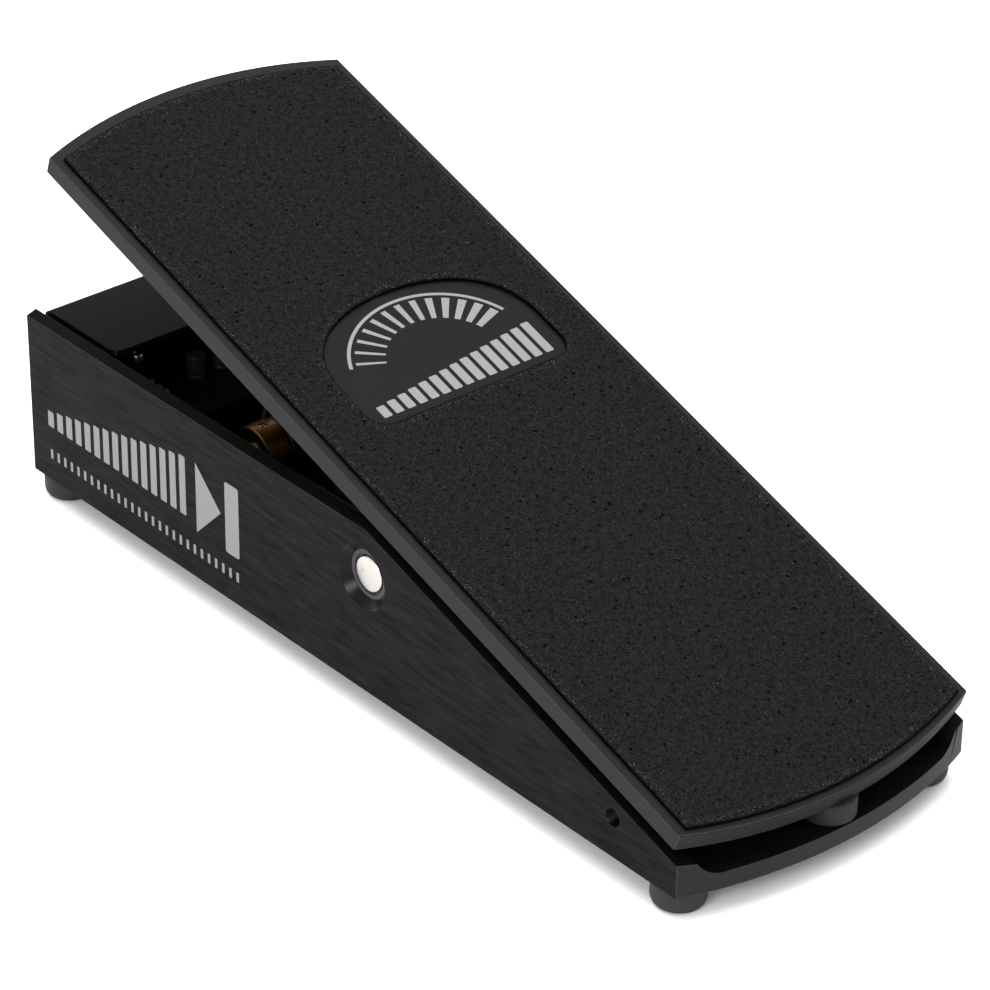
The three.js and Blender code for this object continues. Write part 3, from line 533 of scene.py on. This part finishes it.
def add_piece(name, shape, finish, body, place=None, stands_for=(), smooth=35):
    """A new piece that rides on a body, and may stand for CAD nodes."""
    piece = new_piece(name, shape, finish, place, smooth)
    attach(piece, body)
    if stands_for:
        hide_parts(*stands_for)
    return piece


def lathe(profile, segments=64):
    """A solid turned about Z. Its profile of (radius, height) ends on the axis or closes on itself."""
    made = bmesh.new()
    rings = []
    for radius, height in profile:
        count = segments if radius > 0 else 1
        rings.append([made.verts.new((*polar(radius, 2 * pi * k / segments), height))
                      for k in range(count)])
    closed = profile[0][0] > 0
    for near, far in zip(rings, rings[1:] + rings[:1] if closed else rings[1:]):
        for k in range(segments):
            corners = (near[k % len(near)], near[(k + 1) % len(near)],
                       far[(k + 1) % len(far)], far[k % len(far)])
            distinct = list(dict.fromkeys(corners))
            if len(distinct) > 2:
                made.faces.new(distinct)
    return made


def soften(profile, radius, steps=4):
    """The profile with each corner between two straight runs rounded off."""
    points = [Vector(p) for p in profile]
    made = [tuple(points[0])]
    for before, corner, after in zip(points, points[1:], points[2:]):
        reach = min(radius, (before - corner).length * 0.45, (after - corner).length * 0.45)
        start = corner + (before - corner).normalized() * reach
        end = corner + (after - corner).normalized() * reach
        for k in range(steps + 1):
            t = k / steps
            made.append(tuple(start * (1 - t) ** 2 + corner * 2 * t * (1 - t) + end * t ** 2))
    return made + [tuple(points[-1])]


def soften_loop(profile, radius, steps=4):
    """The same for a profile that closes on itself."""
    rounded = soften([profile[-1], *profile, profile[0]], radius, steps)
    return rounded[1:-1]


def sweep(points, section):
    """A closed tube along the points. section(k) gives the outline, as (a, b) pairs, at point k."""
    made = bmesh.new()
    tangents = [(points[min(k + 1, len(points) - 1)] - points[max(k - 1, 0)]).normalized()
                for k in range(len(points))]
    side = tangents[0].orthogonal().normalized()
    rings = []
    for k, (point, tangent) in enumerate(zip(points, tangents)):
        side = (side - tangent * side.dot(tangent)).normalized()
        up = tangent.cross(side)
        rings.append([made.verts.new(point + side * a + up * b) for a, b in section(k)])
    for near, far in zip(rings, rings[1:]):
        for k in range(len(near)):
            after = (k + 1) % len(near)
            made.faces.new((near[k], near[after], far[after], far[k]))
    made.faces.new(rings[0])
    made.faces.new(rings[-1])
    return made


def wire_section(radius, sides):
    outline = [polar(radius, 2 * pi * k / sides) for k in range(sides)]
    return lambda step: outline


def prisms(outlines, bottom, top):
    """Flat solids of the given (x, y) outlines, all in one mesh."""
    made = bmesh.new()
    for outline in outlines:
        lower, upper = ([made.verts.new((x, y, z)) for x, y in outline] for z in (bottom, top))
        made.faces.new(lower)
        made.faces.new(upper)
        for k in range(len(outline)):
            after = (k + 1) % len(outline)
            made.faces.new((lower[k], lower[after], upper[after], upper[k]))
    return made


def rounded_block(low, high, radius, segments=3):
    """A block with all its edges rounded."""
    made = bmesh.new()
    bmesh.ops.create_cube(made, size=1)
    for vertex in made.verts:
        vertex.co = Vector([(low[k] + high[k]) / 2 + vertex.co[k] * (high[k] - low[k]) for k in range(3)])
    bmesh.ops.bevel(made, geom=made.edges[:], offset=radius, segments=segments, profile=0.5,
                    affect="EDGES")
    return made


def rounded_bar(x0, x1, y0, y1, radius, steps=4):
    """The outline of an upright bar with round corners."""
    radius = min(radius, (x1 - x0) / 2, (y1 - y0) / 2)
    corners = ((x1 - radius, y1 - radius), (x0 + radius, y1 - radius),
               (x0 + radius, y0 + radius), (x1 - radius, y0 + radius))
    outline = []
    for quarter, (x, y) in enumerate(corners):
        for k in range(steps + 1):
            across, up = polar(radius, (quarter + k / steps) * pi / 2)
            outline.append((x + across, y + up))
    return outline


def arc_band(x, y, inner, outer, start, end, wide, steps=40):
    """The outline of a band between two arcs, from one angle in degrees to another."""
    angles = [radians(start + (end - start) * k / steps) for k in range(steps + 1)]
    return [(x + wide * radius * cos(a), y + radius * sin(a))
            for radius, run in ((outer, angles), (inner, angles[::-1])) for a in run]


def solved(shape, tool_shape, operation):
    """DIFFERENCE gives the shape without the tool's space, and INTERSECT what the two share."""
    body, tool = (in_scene(bpy.data.objects.new(name, finished(given, name)))
                  for name, given in (("body", shape), ("tool", tool_shape)))
    modifier = body.modifiers.new("solve", "BOOLEAN")
    modifier.object, modifier.operation, modifier.solver = tool, operation, "EXACT"
    graph = bpy.context.evaluated_depsgraph_get()
    made = bpy.data.meshes.new_from_object(body.evaluated_get(graph))
    for obj in (body, tool):
        bpy.data.objects.remove(obj)
    return made


# ---- CAD nodes

EDGE_WIDTHS = {"housing": 0.00028, "treadle_plate": 0.00035, "jack_bracket": 0.00022, "pivot_block": 0.0003}
SMALL_WIDTH = 0.0001
SLOT_OF_NODE = {part["node"]: part["material_slot"] for part in frame["record"]["subparts"]}
FINISH_OF_NODE = {"treadle_plate": "treadle_black", "pot_bracket": "dull_steel"}
SHARP = radians(32)
FLAT = radians(0.6)
SHORTEST_EASED = 0.0025
SHORTEST_SMALL = 0.0006


class MeshSteps(Tree):
    """A chain of geometry nodes, for a modifier."""

    def __init__(self, name):
        super().__init__(bpy.data.node_groups.new(name, "GeometryNodeTree"))
        for way in ("INPUT", "OUTPUT"):
            self.tree.interface.new_socket("Geometry", in_out=way, socket_type="NodeSocketGeometry")
        self.end = self.node("NodeGroupInput").outputs[0]

    def step(self, kind, values, **settings):
        """One more node in the chain. values holds its other inputs by name."""
        made = self.node(kind, values, **settings)
        self.link(self.end, made.inputs[0])
        self.end = made.outputs[0]

    def above(self, value, limit):
        return self.node("FunctionNodeCompare", {"A": value, "B": limit}, data_type="FLOAT",
                         operation="GREATER_THAN").outputs["Result"]

    def logic(self, operation, a, b):
        return self.calc("FunctionNodeBooleanMath", operation, a, b)[0]

    def edge_angle(self):
        return self.node("GeometryNodeInputMeshEdgeAngle").outputs["Unsigned Angle"]

    def edge_length(self):
        ends = self.node("GeometryNodeInputMeshEdgeVertices").outputs
        return self.vector("DISTANCE", ends["Position 1"], ends["Position 2"])["Value"]

    def done(self):
        self.link(self.end, self.node("NodeGroupOutput").inputs[0])
        return self.tree


def joined_steps():
    """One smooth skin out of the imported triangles."""
    steps = MeshSteps("joined")
    steps.step("GeometryNodeRemoveAttribute", {"Name": "custom_normal"})
    steps.step("GeometryNodeMergeByDistance", {"Distance": 1e-6})
    for domain in ("EDGE", "FACE"):
        steps.step("GeometryNodeSetShadeSmooth", {"Shade Smooth": True}, domain=domain)
    return steps.done()


def eased_steps(shortest):
    """Sharp edges longer than shortest are marked for the bevel, and the others stay sharp."""
    steps = MeshSteps(f"eased_{shortest * 1e6:.0f}")
    sharp = steps.above(steps.edge_angle(), SHARP)
    eased = steps.logic("AND", sharp, steps.above(steps.edge_length(), shortest))
    kept = steps.logic("NIMPLY", sharp, eased)
    steps.step("GeometryNodeStoreNamedAttribute", {"Name": "bevel_weight_edge", "Value": eased},
               data_type="FLOAT", domain="EDGE")
    steps.step("GeometryNodeSetShadeSmooth", {"Selection": kept, "Shade Smooth": False}, domain="EDGE")
    return steps.done()


def ease_edges(obj, joined, eased, width):
    """Modifiers that join the skin, ease its edges and keep its flat faces flat."""
    obj.modifiers.new("joined", "NODES").node_group = joined
    flat = obj.modifiers.new("flat", "DECIMATE")
    flat.decimate_type = "DISSOLVE"
    flat.angle_limit = FLAT
    obj.modifiers.new("eased", "NODES").node_group = eased
    bevel = obj.modifiers.new("bevel", "BEVEL")
    bevel.width = width or SMALL_WIDTH
    bevel.segments = 2
    bevel.limit_method = "WEIGHT"
    bevel.harden_normals = True
    bevel.use_clamp_overlap = width is None


def dress_cad_nodes():
    """Each CAD node gets its finish and eased edges."""
    joined = joined_steps()
    eased = {True: eased_steps(SHORTEST_EASED), False: eased_steps(SHORTEST_SMALL)}
    for node, slot in SLOT_OF_NODE.items():
        for place in NODES[node].material_slots:
            place.link = "OBJECT"
            place.material = MATERIALS[FINISH_OF_NODE.get(node, slot)]
        ease_edges(NODES[node], joined, eased[node in EDGE_WIDTHS], EDGE_WIDTHS.get(node))


# ---- the treadle's pad and emblem

PAD_END_RADIUS = 0.146
PAD_GRID = 0.0006
PAD_BLOCK = 16
RIM_RAGGED = 0.00016
RIM_DROP, NEXT_DROP = 0.00026, 0.00008      # of the points along the pad's edge, and the next ones in
WINDOW = {"x": 0.002, "v": 0.024, "half_width": 0.034, "straight": 0.016, "height": 0.041,
          "corner": 0.006, "shoulder": 0.006}
WINDOW_V = (0.02, 0.07)     # rim points between these belong to the window
MARGIN = 0.002
INK_BOTTOM = 0.00001
INK_CORNER = 0.0004


def bezier(a, b, c, d, steps=40):
    a, b, c, d = (Vector(p) for p in (a, b, c, d))
    return [a * (1 - t) ** 3 + b * 3 * t * (1 - t) ** 2 + c * 3 * t ** 2 * (1 - t) + d * t ** 3
            for t in (k / steps for k in range(steps))]


def window_outline():
    """The bare patch's edge: straight at its foot, and domed towards the toe."""
    x, v, half, corner = (WINDOW[key] for key in ("x", "v", "half_width", "corner"))
    top, side = v + WINDOW["height"], v + WINDOW["straight"]
    shoulder, pull = top - WINDOW["shoulder"], (half - corner) * 0.55

    def foot_corner(centre, start, steps=8):
        angles = [start + k / steps * pi / 2 for k in range(steps + 1)]
        return [Vector((centre + corner * cos(a), v + corner + corner * sin(a))) for a in angles]

    return (foot_corner(x + half - corner, -pi / 2)
            + bezier((x + half, side), (x + half, shoulder), (x + pull, top), (x, top))
            + bezier((x, top), (x - pull, top), (x - half, shoulder), (x - half, side))
            + foot_corner(x - half + corner, pi))


def inside(point, outline):
    x, y = point
    crossings = 0
    for a, b in zip(outline, outline[1:] + outline[:1]):
        if (a[1] > y) != (b[1] > y) and x < a[0] + (y - a[1]) / (b[1] - a[1]) * (b[0] - a[0]):
            crossings += 1
    return crossings % 2 == 1


def nearest_on(outline, point):
    best = None
    for a, b in zip(outline, outline[1:] + outline[:1]):
        along = b - a
        t = max(0, min(1, (point - a).dot(along) / max(along.length_squared, 1e-18)))
        found = a + along * t
        if best is None or (found - point).length < (best - point).length:
            best = found
    return best


def grit_height(x, v):
    """The pad's relief: lumps about a millimetre across, with sharper pits between them."""
    lumps, grains, pits = (noise.noise(Vector((x, v, layer)) * scale)
                           for layer, scale in ((0, 900), (0.01, 1900), (0.02, 700)))
    return 0.00009 * lumps + 0.00006 * grains - 0.0009 * max(0, pits - 0.28)


def close_underneath(made, base, block_of):
    """Closes an open sheet with a flat underside at the height base, joined into one face a block."""
    rim = [e for e in made.edges if e.is_boundary]
    above = made.verts[:]
    copied = bmesh.ops.duplicate(made, geom=above + made.edges[:] + made.faces[:])
    below, twin = copied["vert_map"], copied["face_map"]
    under = [below[vertex] for vertex in above]
    for vertex in under:
        vertex.co.z = base
    bmesh.ops.reverse_faces(made, faces=[twin[face] for face in block_of])
    for edge in rim:
        a, b = edge.verts
        made.faces.new((a, b, below[b], below[a]))
    for turn in ((0, 0), (0, 1), (1, 0), (1, 1)):       # blocks of one turn never touch each other
        chosen = [twin[face] for face, (i, j) in block_of.items() if (i % 2, j % 2) == turn]
        bmesh.ops.dissolve_faces(made, faces=chosen)
    spare = [vertex for vertex in under if vertex.is_valid and len(vertex.link_edges) == 2]
    bmesh.ops.dissolve_verts(made, verts=spare)


def end_sag(x):
    """How far the pad's bowed ends fall back at x."""
    return PAD_END_RADIUS - sqrt(PAD_END_RADIUS ** 2 - x ** 2)


def pad_points(made, low, high):
    """Columns of points over the whole pad, following its bowed ends."""
    half = high.x
    columns = round(2 * half / PAD_GRID)
    rows = round((high.y - low.y - end_sag(half)) / PAD_GRID)
    grid = []
    for i in range(columns + 1):
        x = -half + 2 * half * i / columns
        start, end = low.y + end_sag(x), high.y - end_sag(x)
        grid.append([made.verts.new((x, start + (end - start) * j / rows, high.z)) for j in range(rows + 1)])
    return grid


def fill_pad(made, grid, outline):
    """Faces between the points, except in the window. Gives the block that each face is in."""
    block_of = {}
    for i in range(len(grid) - 1):
        for j in range(len(grid[0]) - 1):
            corners = (grid[i][j], grid[i + 1][j], grid[i + 1][j + 1], grid[i][j + 1])
            centre = (corners[0].co + corners[2].co) / 2
            near = (abs(centre.x - WINDOW["x"]) < WINDOW["half_width"] + MARGIN
                    and -MARGIN < centre.y - WINDOW["v"] < WINDOW["height"] + MARGIN)
            if not (near and inside(centre.xy, outline)):
                block_of[made.faces.new(corners)] = (i // PAD_BLOCK, j // PAD_BLOCK)
    bmesh.ops.delete(made, geom=[v for v in made.verts if not v.link_faces], context="VERTS")
    return block_of


def rings_within(rim, count):
    """Rings of points, each one edge further in from the rim."""
    rings = [set(), set(rim)]
    for _ in range(count):
        near = {e.other_vert(v) for v in rings[-1] for e in v.link_edges}
        rings.append(near - rings[-1] - rings[-2])
    return rings[2:]


def roughen_pad(made, next_in):
    """The grit's relief, and a ragged edge that is pressed down a little."""
    for vertex in made.verts:
        x, v = vertex.co.xy
        drop = NEXT_DROP if vertex in next_in else 0
        if vertex.is_boundary:
            push = Vector([noise.noise(Vector((x, v, layer)) * 700) for layer in (0.3, 0.6)])
            vertex.co.xy += push * RIM_RAGGED
            drop = RIM_DROP
        vertex.co.z += grit_height(x, v) - drop


def add_grip_pad():
    low, high = box_in("grip_pad", ON_TREADLE)
    made = bmesh.new()
    edge_shadow = made.verts.layers.float.new("edge_shadow")
    band = made.verts.layers.float.new("band")
    outline = window_outline()
    block_of = fill_pad(made, pad_points(made, low, high), outline)
    rim = [v for v in made.verts if v.is_boundary]
    for vertex in rim:
        if abs(vertex.co.x) < high.x - MARGIN and WINDOW_V[0] < vertex.co.y < WINDOW_V[1]:
            vertex.co.xy = nearest_on(outline, vertex.co.xy)
        # The pad's edge points carry the painted shadow line between the pad and the plate.
        vertex[edge_shadow] = 1
    rings = rings_within(rim, 3)
    for vertex in set.union(*rings):
        vertex[band] = 1
    roughen_pad(made, rings[0])
    close_underneath(made, low.z, block_of)
    add_piece("grip_sheet", made, "grip_surface", "treadle", ON_TREADLE, stands_for=("grip_pad",), smooth=60)


def rising_bars(sides, foot, shortest, growth):
    """Upright bars between the (left, right) pairs of sides, each one a little taller."""
    return [rounded_bar(left, right, foot, foot + (shortest + growth * k / (len(sides) - 1)), INK_CORNER)
            for k, (left, right) in enumerate(sides)]


def add_emblem():
    """A dial scale over a row of level bars, printed on the bare patch."""
    ground = box_in("treadle_plate", ON_TREADLE)[1].z
    bottom, top = ground + INK_BOTTOM, ground + 0.00009
    x0, foot = WINDOW["x"], WINDOW["v"] + 0.003
    count, pitch, width = 15, 0.0040, 0.0027
    middles = [x0 + (k - (count - 1) / 2) * pitch for k in range(count)]
    bars = rising_bars([(x - width / 2, x + width / 2) for x in middles], foot, 0.0042, 0.0078)
    hub_v, wide = foot + 0.0105, 1.17
    marks = [arc_band(x0, hub_v, 0.0235, 0.0244, 20, 160, wide)]
    ticks, first, last, inner, outer = 13, 156, 24, 0.0150, 0.0225
    for k in range(ticks):
        angle = first - (first - last) * k / (ticks - 1)
        half_width = 1.1 + 2.0 * k / (ticks - 1)
        marks.append(arc_band(x0, hub_v, inner, outer, angle - half_width, angle + half_width, wide, 4))
    for name, outlines in (("emblem_bars", bars), ("emblem_scale", marks)):
        add_piece(name, prisms(outlines, bottom, top), "printed_silver", "treadle", ON_TREADLE)


def add_side_scale():
    """A rising level scale printed on the left wall, with a row of small ticks under it."""
    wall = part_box("housing")[0].x
    place = Matrix(((0, 0, -1, wall), (-1, 0, 0, 0), (0, 1, 0, 0), (0, 0, 0, 1)))
    start, end = -0.127, -0.0605          # along the wall, towards the heel
    count = 15
    pitch = (end - start) / count
    lefts = [start + k * pitch for k in range(count)]
    bars = rising_bars([(x, x + pitch * 0.62) for x in lefts], 0.0255, 0.005, 0.0135)
    arrow = [(-0.0575, 0.0225), (-0.0465, 0.0335), (-0.0575, 0.0445)]
    block = rounded_bar(-0.0445, -0.0385, 0.0225, 0.0445, 0.0008)
    tick_pitch, tick_width = 0.0032, 0.0011
    ticks = [rounded_bar(x, x + tick_width, 0.0150, 0.0180, 0.0002)
             for x in (start + 0.0005 + k * tick_pitch for k in range(28))]
    shapes = prisms(bars + [arrow, block] + ticks, INK_BOTTOM, 0.00007)
    add_piece("side_scale", shapes, "printed_silver", "housing", place)


# ---- turned and moulded pieces

RUBBER_ROUND = 0.0007
PAN_RADIUS, PAN_HEIGHT = 0.0029, 0.002
JACK_BORE, THREAD_ROOT, THREAD_CREST = 0.00342, 0.0046, 0.0048
NUT_FLATS = 0.0127


def add_bushings():
    """Flanged bushings, each with a dark relief between its face and the shaft."""
    shaft_low, shaft_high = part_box("pivot_shaft")
    radius = (shaft_high.z - shaft_low.z) / 2
    bore, relief, depth, thick = radius + 0.00006, radius + 0.0007, 0.0008, 0.0011
    for side, sign in (("left", -1), ("right", 1)):
        node = f"pivot_bushing_{side}"
        low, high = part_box(node)
        length, flange = high.x - low.x, (high.z - low.z) / 2
        rim = flange - 0.002
        profile = soften_loop([(bore, 0), (flange, 0), (flange, thick), (rim, thick), (rim, length),
                               (relief, length), (relief, length - depth), (bore, length - depth)], 0.00012)
        place = on_pivot(high.x if sign < 0 else low.x, sign * pi / 2)
        add_piece(f"bushing_{side}", lathe(profile, 96), "bushing_grey", "housing", place, stands_for=(node,))


def add_shaft():
    """The pivot shaft, ground, with chamfered ends."""
    low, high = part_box("pivot_shaft")
    radius, half, chamfer = (high.z - low.z) / 2, (high.x - low.x) / 2, 0.0003
    profile = soften([(0, -half), (radius - chamfer, -half), (radius, -half + chamfer),
                      (radius, half - chamfer), (radius - chamfer, half), (0, half)], 0.00008, 2)
    add_piece("shaft", lathe(profile, 96), "shaft_steel", "treadle", on_pivot((low.x + high.x) / 2),
              stands_for=("pivot_shaft",))


def add_feet():
    for node in [n for n in NODES if n.startswith("foot_") and "screw" not in n]:
        low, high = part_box(node)
        radius, height = (high.x - low.x) / 2, high.z - low.z
        recess, seat, hole = 0.0032, 0.0044, 0.0016
        profile = soften_loop([(recess, 0), (radius - 0.0019, 0), (radius - 0.0006, 0.0007),
                               (radius, 0.0022), (radius, height), (hole, height), (hole, seat),
                               (recess, seat)], RUBBER_ROUND, 5)
        add_piece(f"rubber_{node}", lathe(profile, 72), "foot_rubber", "housing", over(node, low.z),
                  stands_for=(node,))


def add_heel_bumper():
    low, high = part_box("heel_bumper")
    radius, height = (high.x - low.x) / 2, high.z - low.z
    hole, recess, seat = 0.0016, 0.0032, 0.003
    profile = soften_loop([(hole, 0), (radius, 0), (radius, height), (recess, height), (recess, seat),
                           (hole, seat)], RUBBER_ROUND, 5)
    add_piece("bumper_heel", lathe(profile, 72), "bumper_grey_rubber", "housing",
              over("heel_bumper", low.z), stands_for=("heel_bumper",))


def add_toe_bumpers():
    for side in ("left", "right"):
        node = f"toe_bumper_{side}"
        low, high = box_in(node, ON_TREADLE)
        radius, centre, depth = (high.x - low.x) / 2, (low + high) / 2, high.z - low.z
        profile = soften([(0, -depth), (radius, -depth), (radius, 0), (0, 0)], 0.0008, 5)
        place = ON_TREADLE @ Matrix.Translation((centre.x, centre.y, high.z))
        add_piece(f"bumper_toe_{side}", lathe(profile, 56), "foot_rubber", "treadle", place,
                  stands_for=(node,))


def thread(root, crest, start, end, pitch):
    """A screw thread's profile, as rings."""
    made = []
    z = start
    while z < end:
        made += [(root, z), (crest, z + pitch / 2)]
        z += pitch
    return made


def pan_screw_mesh(length):
    """A cross-recessed pan head, head up, on a threaded shank."""
    head, height, shank, pitch = PAN_RADIUS, PAN_HEIGHT, 0.00145, 0.0005
    root = shank - 0.0002
    profile = [(0, -length), *thread(root, shank, -length, -pitch, pitch), (root, 0), (head, 0),
               (head, height * 0.45), (head * 0.86, height * 0.8), (head * 0.55, height), (0, height)]
    arm, half = head * 0.58, 0.00035
    cross = []
    for ahead, aside in ((1, 0), (0, 1), (-1, 0), (0, -1)):
        cross += [(x * ahead - y * aside, x * aside + y * ahead)
                  for x, y in ((arm, half), (half, half), (half, arm))]
    return solved(lathe(profile, 36), prisms([cross], height * 0.4, height + 0.001), "DIFFERENCE")


def add_pan_screws():
    screws = [n for n in NODES if "_screw" in n and "block" not in n and "set" not in n]
    made = {}
    for node in screws:
        low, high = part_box(node)
        length = round(high.z - low.z - PAN_HEIGHT, 5)
        if length not in made:
            made[length] = pan_screw_mesh(length)
        if node.startswith("foot"):
            place = over(node, low.z + PAN_HEIGHT) @ Matrix.Rotation(pi, 4, "X")
        else:
            place = over(node, high.z - PAN_HEIGHT)
        place = place @ Matrix.Rotation(sum(map(ord, node)) % 7 * 0.4, 4, "Z")
        add_piece(f"cross_{node}", made[length].copy(), "bright_steel", "housing", place, stands_for=(node,))


def jack_sleeve(reach):
    mouth = reach + 0.0001
    turns = thread(THREAD_ROOT, THREAD_CREST, 0.0032, reach - 0.0006, 0.0007)
    return lathe([(JACK_BORE, 0.0002), (THREAD_ROOT + 0.0001, 0.0002), *turns, (THREAD_ROOT, mouth),
                  (JACK_BORE + 0.0004, mouth), (JACK_BORE, reach - 0.0003)], 56)


def jack_contact():
    radius, back, front = JACK_BORE - 0.0002, -0.0232, -0.0198
    tip = [(0, back), (radius, back), (radius, -0.021), (0.0017, front), (0, front)]
    return lathe(soften(tip, 0.0003), 32)


def jack_washer():
    inner, outer, low, high = THREAD_ROOT + 0.0003, 0.0068, 0.0001, 0.0006
    return lathe(soften_loop([(inner, low), (outer, low), (outer, high), (inner, high)], 0.0001, 2), 48)


def jack_nut(start, thick):
    """The space that a chamfered disc and a hexagon share, with a hole through it."""
    end, below, above = start + thick, start - 0.001, start + thick + 0.001
    face, corner, bore = NUT_FLATS * 0.5, NUT_FLATS * 0.59, THREAD_ROOT + 0.00025
    disc = lathe([(0, start), (face, start), (corner, start + 0.0004), (corner, end - 0.0006),
                  (face, end), (0, end)], 72)
    hexagon = [polar(NUT_FLATS / sqrt(3), k * pi / 3) for k in range(6)]
    hole = lathe([(0, below), (bore, below), (bore, above), (0, above)], 48)
    return solved(solved(disc, prisms([hexagon], below, above), "INTERSECT"), hole, "DIFFERENCE")


def add_jack_fronts():
    """A threaded sleeve, a contact, a washer and a chamfered nut on each jack."""
    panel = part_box("jack_bracket")[1].y
    for label in ("input", "output", "tuner"):
        nut = f"{label}_jack_nut"
        nut_low, nut_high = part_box(nut)
        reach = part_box(f"{label}_jack")[1].y - panel
        place = (Matrix.Translation((middle(nut).x, panel, middle(nut).z))
                 @ Matrix.Rotation(-pi / 2, 4, "X"))
        for part, mesh, finish in (("sleeve", jack_sleeve(reach), "bright_steel"),
                                   ("contact", jack_contact(), "brass"),
                                   ("washer", jack_washer(), "bright_steel")):
            add_piece(f"{label}_jack_{part}", mesh, finish, "housing", place)
        mesh = jack_nut(nut_low.y - panel, nut_high.y - nut_low.y)
        add_piece(f"{label}_nut", mesh, "bright_steel", "housing", place, stands_for=(nut,))


# ---- cord and spring

DRUM_AXIS = Vector(JOINTS["drum_spin"]["pos_m"])
CORD_RADIUS = 0.0006
CORD_ARM = 0.00705
CORD_STEP = 0.0004
CORD_ANCHOR = (-0.0116, 0.0855, 0.0117)
CORD_TAIL_X = -0.0099


def cord_section(steps_per_turn=14, sides=18, strands=3):
    """A twisted cord's outline, turning as it goes along."""
    def at(step):
        turn = 2 * pi * step / steps_per_turn
        outline = []
        for k in range(sides):
            angle = 2 * pi * k / sides
            reach = CORD_RADIUS * (0.93 + 0.07 * cos(strands * (angle - turn)))
            outline.append(polar(reach, angle))
        return outline
    return at


def straight(start, end):
    steps = round((end - start).length / CORD_STEP)
    return [start.lerp(end, k / steps) for k in range(steps + 1)]


def on_drum(turn, x):
    return Vector((x, DRUM_AXIS.y + CORD_ARM * cos(turn), DRUM_AXIS.z + CORD_ARM * sin(turn)))


def add_cord():
    """The cord's upper run, its turns on the drum, and its tail."""
    top = ON_TREADLE @ Vector(CORD_ANCHOR)
    reach = (top - DRUM_AXIS).yz
    angle = atan2(reach.y, reach.x) - acos(CORD_ARM / reach.length)
    touch = on_drum(angle, CORD_ANCHOR[0])
    upper = add_piece("cord_upper_run", sweep(straight(touch, top), cord_section()), "cord_dark",
                      "housing", stands_for=("drive_cord",))
    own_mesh(upper)

    sweep_angle = angle + pi / 2 + 2 * pi
    steps = round(sweep_angle * CORD_ARM / CORD_STEP)
    wound = [on_drum(angle - sweep_angle * k / steps,
                     CORD_ANCHOR[0] + (CORD_TAIL_X - CORD_ANCHOR[0]) * k / steps) for k in range(steps + 1)]
    add_piece("cord_on_drum", sweep(wound, cord_section()), "cord_dark", "housing")
    add_cord_tail(wound[-1])


def add_cord_tail(start):
    """The run from the drum to the clip."""
    clip_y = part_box("cord_clip")[1].y
    run = straight(start, Vector((CORD_TAIL_X, clip_y - 0.001, start.z)))
    piece = new_piece("cord_tail", sweep(run, cord_section()), "cord_dark", smooth=180)
    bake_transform(piece)


def add_spring():
    """The spring's coils, and a hook at each end, the one at the clip riding with the cord slider."""
    post = middle("spring_post")
    axis_z = DRUM_AXIS.z - CORD_ARM
    radius, wire, turns, steps = 0.0032, 0.0004, 26, 20
    start, end = post.y + 0.006, 0.0036
    coils = []
    for k in range(turns * steps + 1):
        across, up = polar(radius, 2 * pi * k / steps)
        coils.append(Vector((CORD_TAIL_X + across, start + (end - start) * k / (turns * steps), axis_z + up)))
    body = add_piece("spring_coils", sweep(coils, wire_section(wire, 8)), "bright_steel", "housing",
                     stands_for=("tension_spring",))
    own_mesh(body)

    eye, ring, clip_y = 0.0025, 0.00175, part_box("cord_clip")[0].y - 0.00025
    hook = [Vector((CORD_TAIL_X + eye * cos(a), post.y + eye * sin(a), axis_z))
            for a in (radians(120 + 10 * k) for k in range(28))]
    reach = [hook[-1].lerp(coils[0], k / 6) for k in range(1, 7)]
    loop = [Vector((CORD_TAIL_X, clip_y + ring * cos(a), axis_z + ring * sin(a)))
            for a in (radians(200 - 10 * k) for k in range(32))]
    bridge = [coils[-1].lerp(loop[0], k / 6) for k in range(6)]
    for name, points, rides_on in (("spring_hook_post", hook + reach, "housing"),
                                   ("spring_hook_clip", bridge + loop, "cord_slider")):
        add_piece(name, sweep(points, wire_section(wire, 10)), "bright_steel", rides_on)


# ---- what is on the circuit board

RESISTORS = ((-0.028, 0.104), (-0.028, 0.1075), (-0.028, 0.111), (0.026, 0.1075))
ELECTROLYTICS = ((-0.012, 0.108), (-0.003, 0.108))
FILM_CAPACITORS = ((0.008, 0.1045), (0.008, 0.1105), (0.0175, 0.1075))


def add_board_parts():
    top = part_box("circuit_board")[1].z + 0.0001
    cap, waist, half = 0.0011, 0.0009, 0.0032
    resistor = soften([(0, -half), (cap, -half), (waist, -half / 2), (waist, half / 2), (cap, half),
                       (0, half)], 0.0004)
    for k, (x, y) in enumerate(RESISTORS):
        place = Matrix.Translation((x, y, top + 0.0013)) @ Matrix.Rotation(pi / 2, 4, "Y")
        add_piece(f"resistor_{k}", lathe(resistor, 24), "capacitor_brown", "housing", place)
    radius, groove, height = 0.0028, 0.0026, 0.0072
    can = soften([(0, 0), (radius, 0), (radius, 0.0009), (groove, 0.0012), (radius, 0.0015),
                  (radius, height), (0, height)], 0.0004)
    for k, (x, y) in enumerate(ELECTROLYTICS):
        add_piece(f"electrolytic_{k}", lathe(can, 40), "plastic_black", "housing",
                  Matrix.Translation((x, y, top)))
    half_x, half_y, tall = 0.0036, 0.0013, 0.0062
    for k, (x, y) in enumerate(FILM_CAPACITORS):
        block = rounded_block((x - half_x, y - half_y, top), (x + half_x, y + half_y, top + tall), 0.0006)
        add_piece(f"film_capacitor_{k}", block, "capacitor_brown", "housing")


add_camera()
add_studio()
dress_cad_nodes()
add_grip_pad()
add_emblem()
add_side_scale()
add_bushings()
add_shaft()
add_feet()
add_heel_bumper()
add_toe_bumpers()
add_pan_screws()
add_jack_fronts()
add_cord()
add_spring()
add_board_parts()
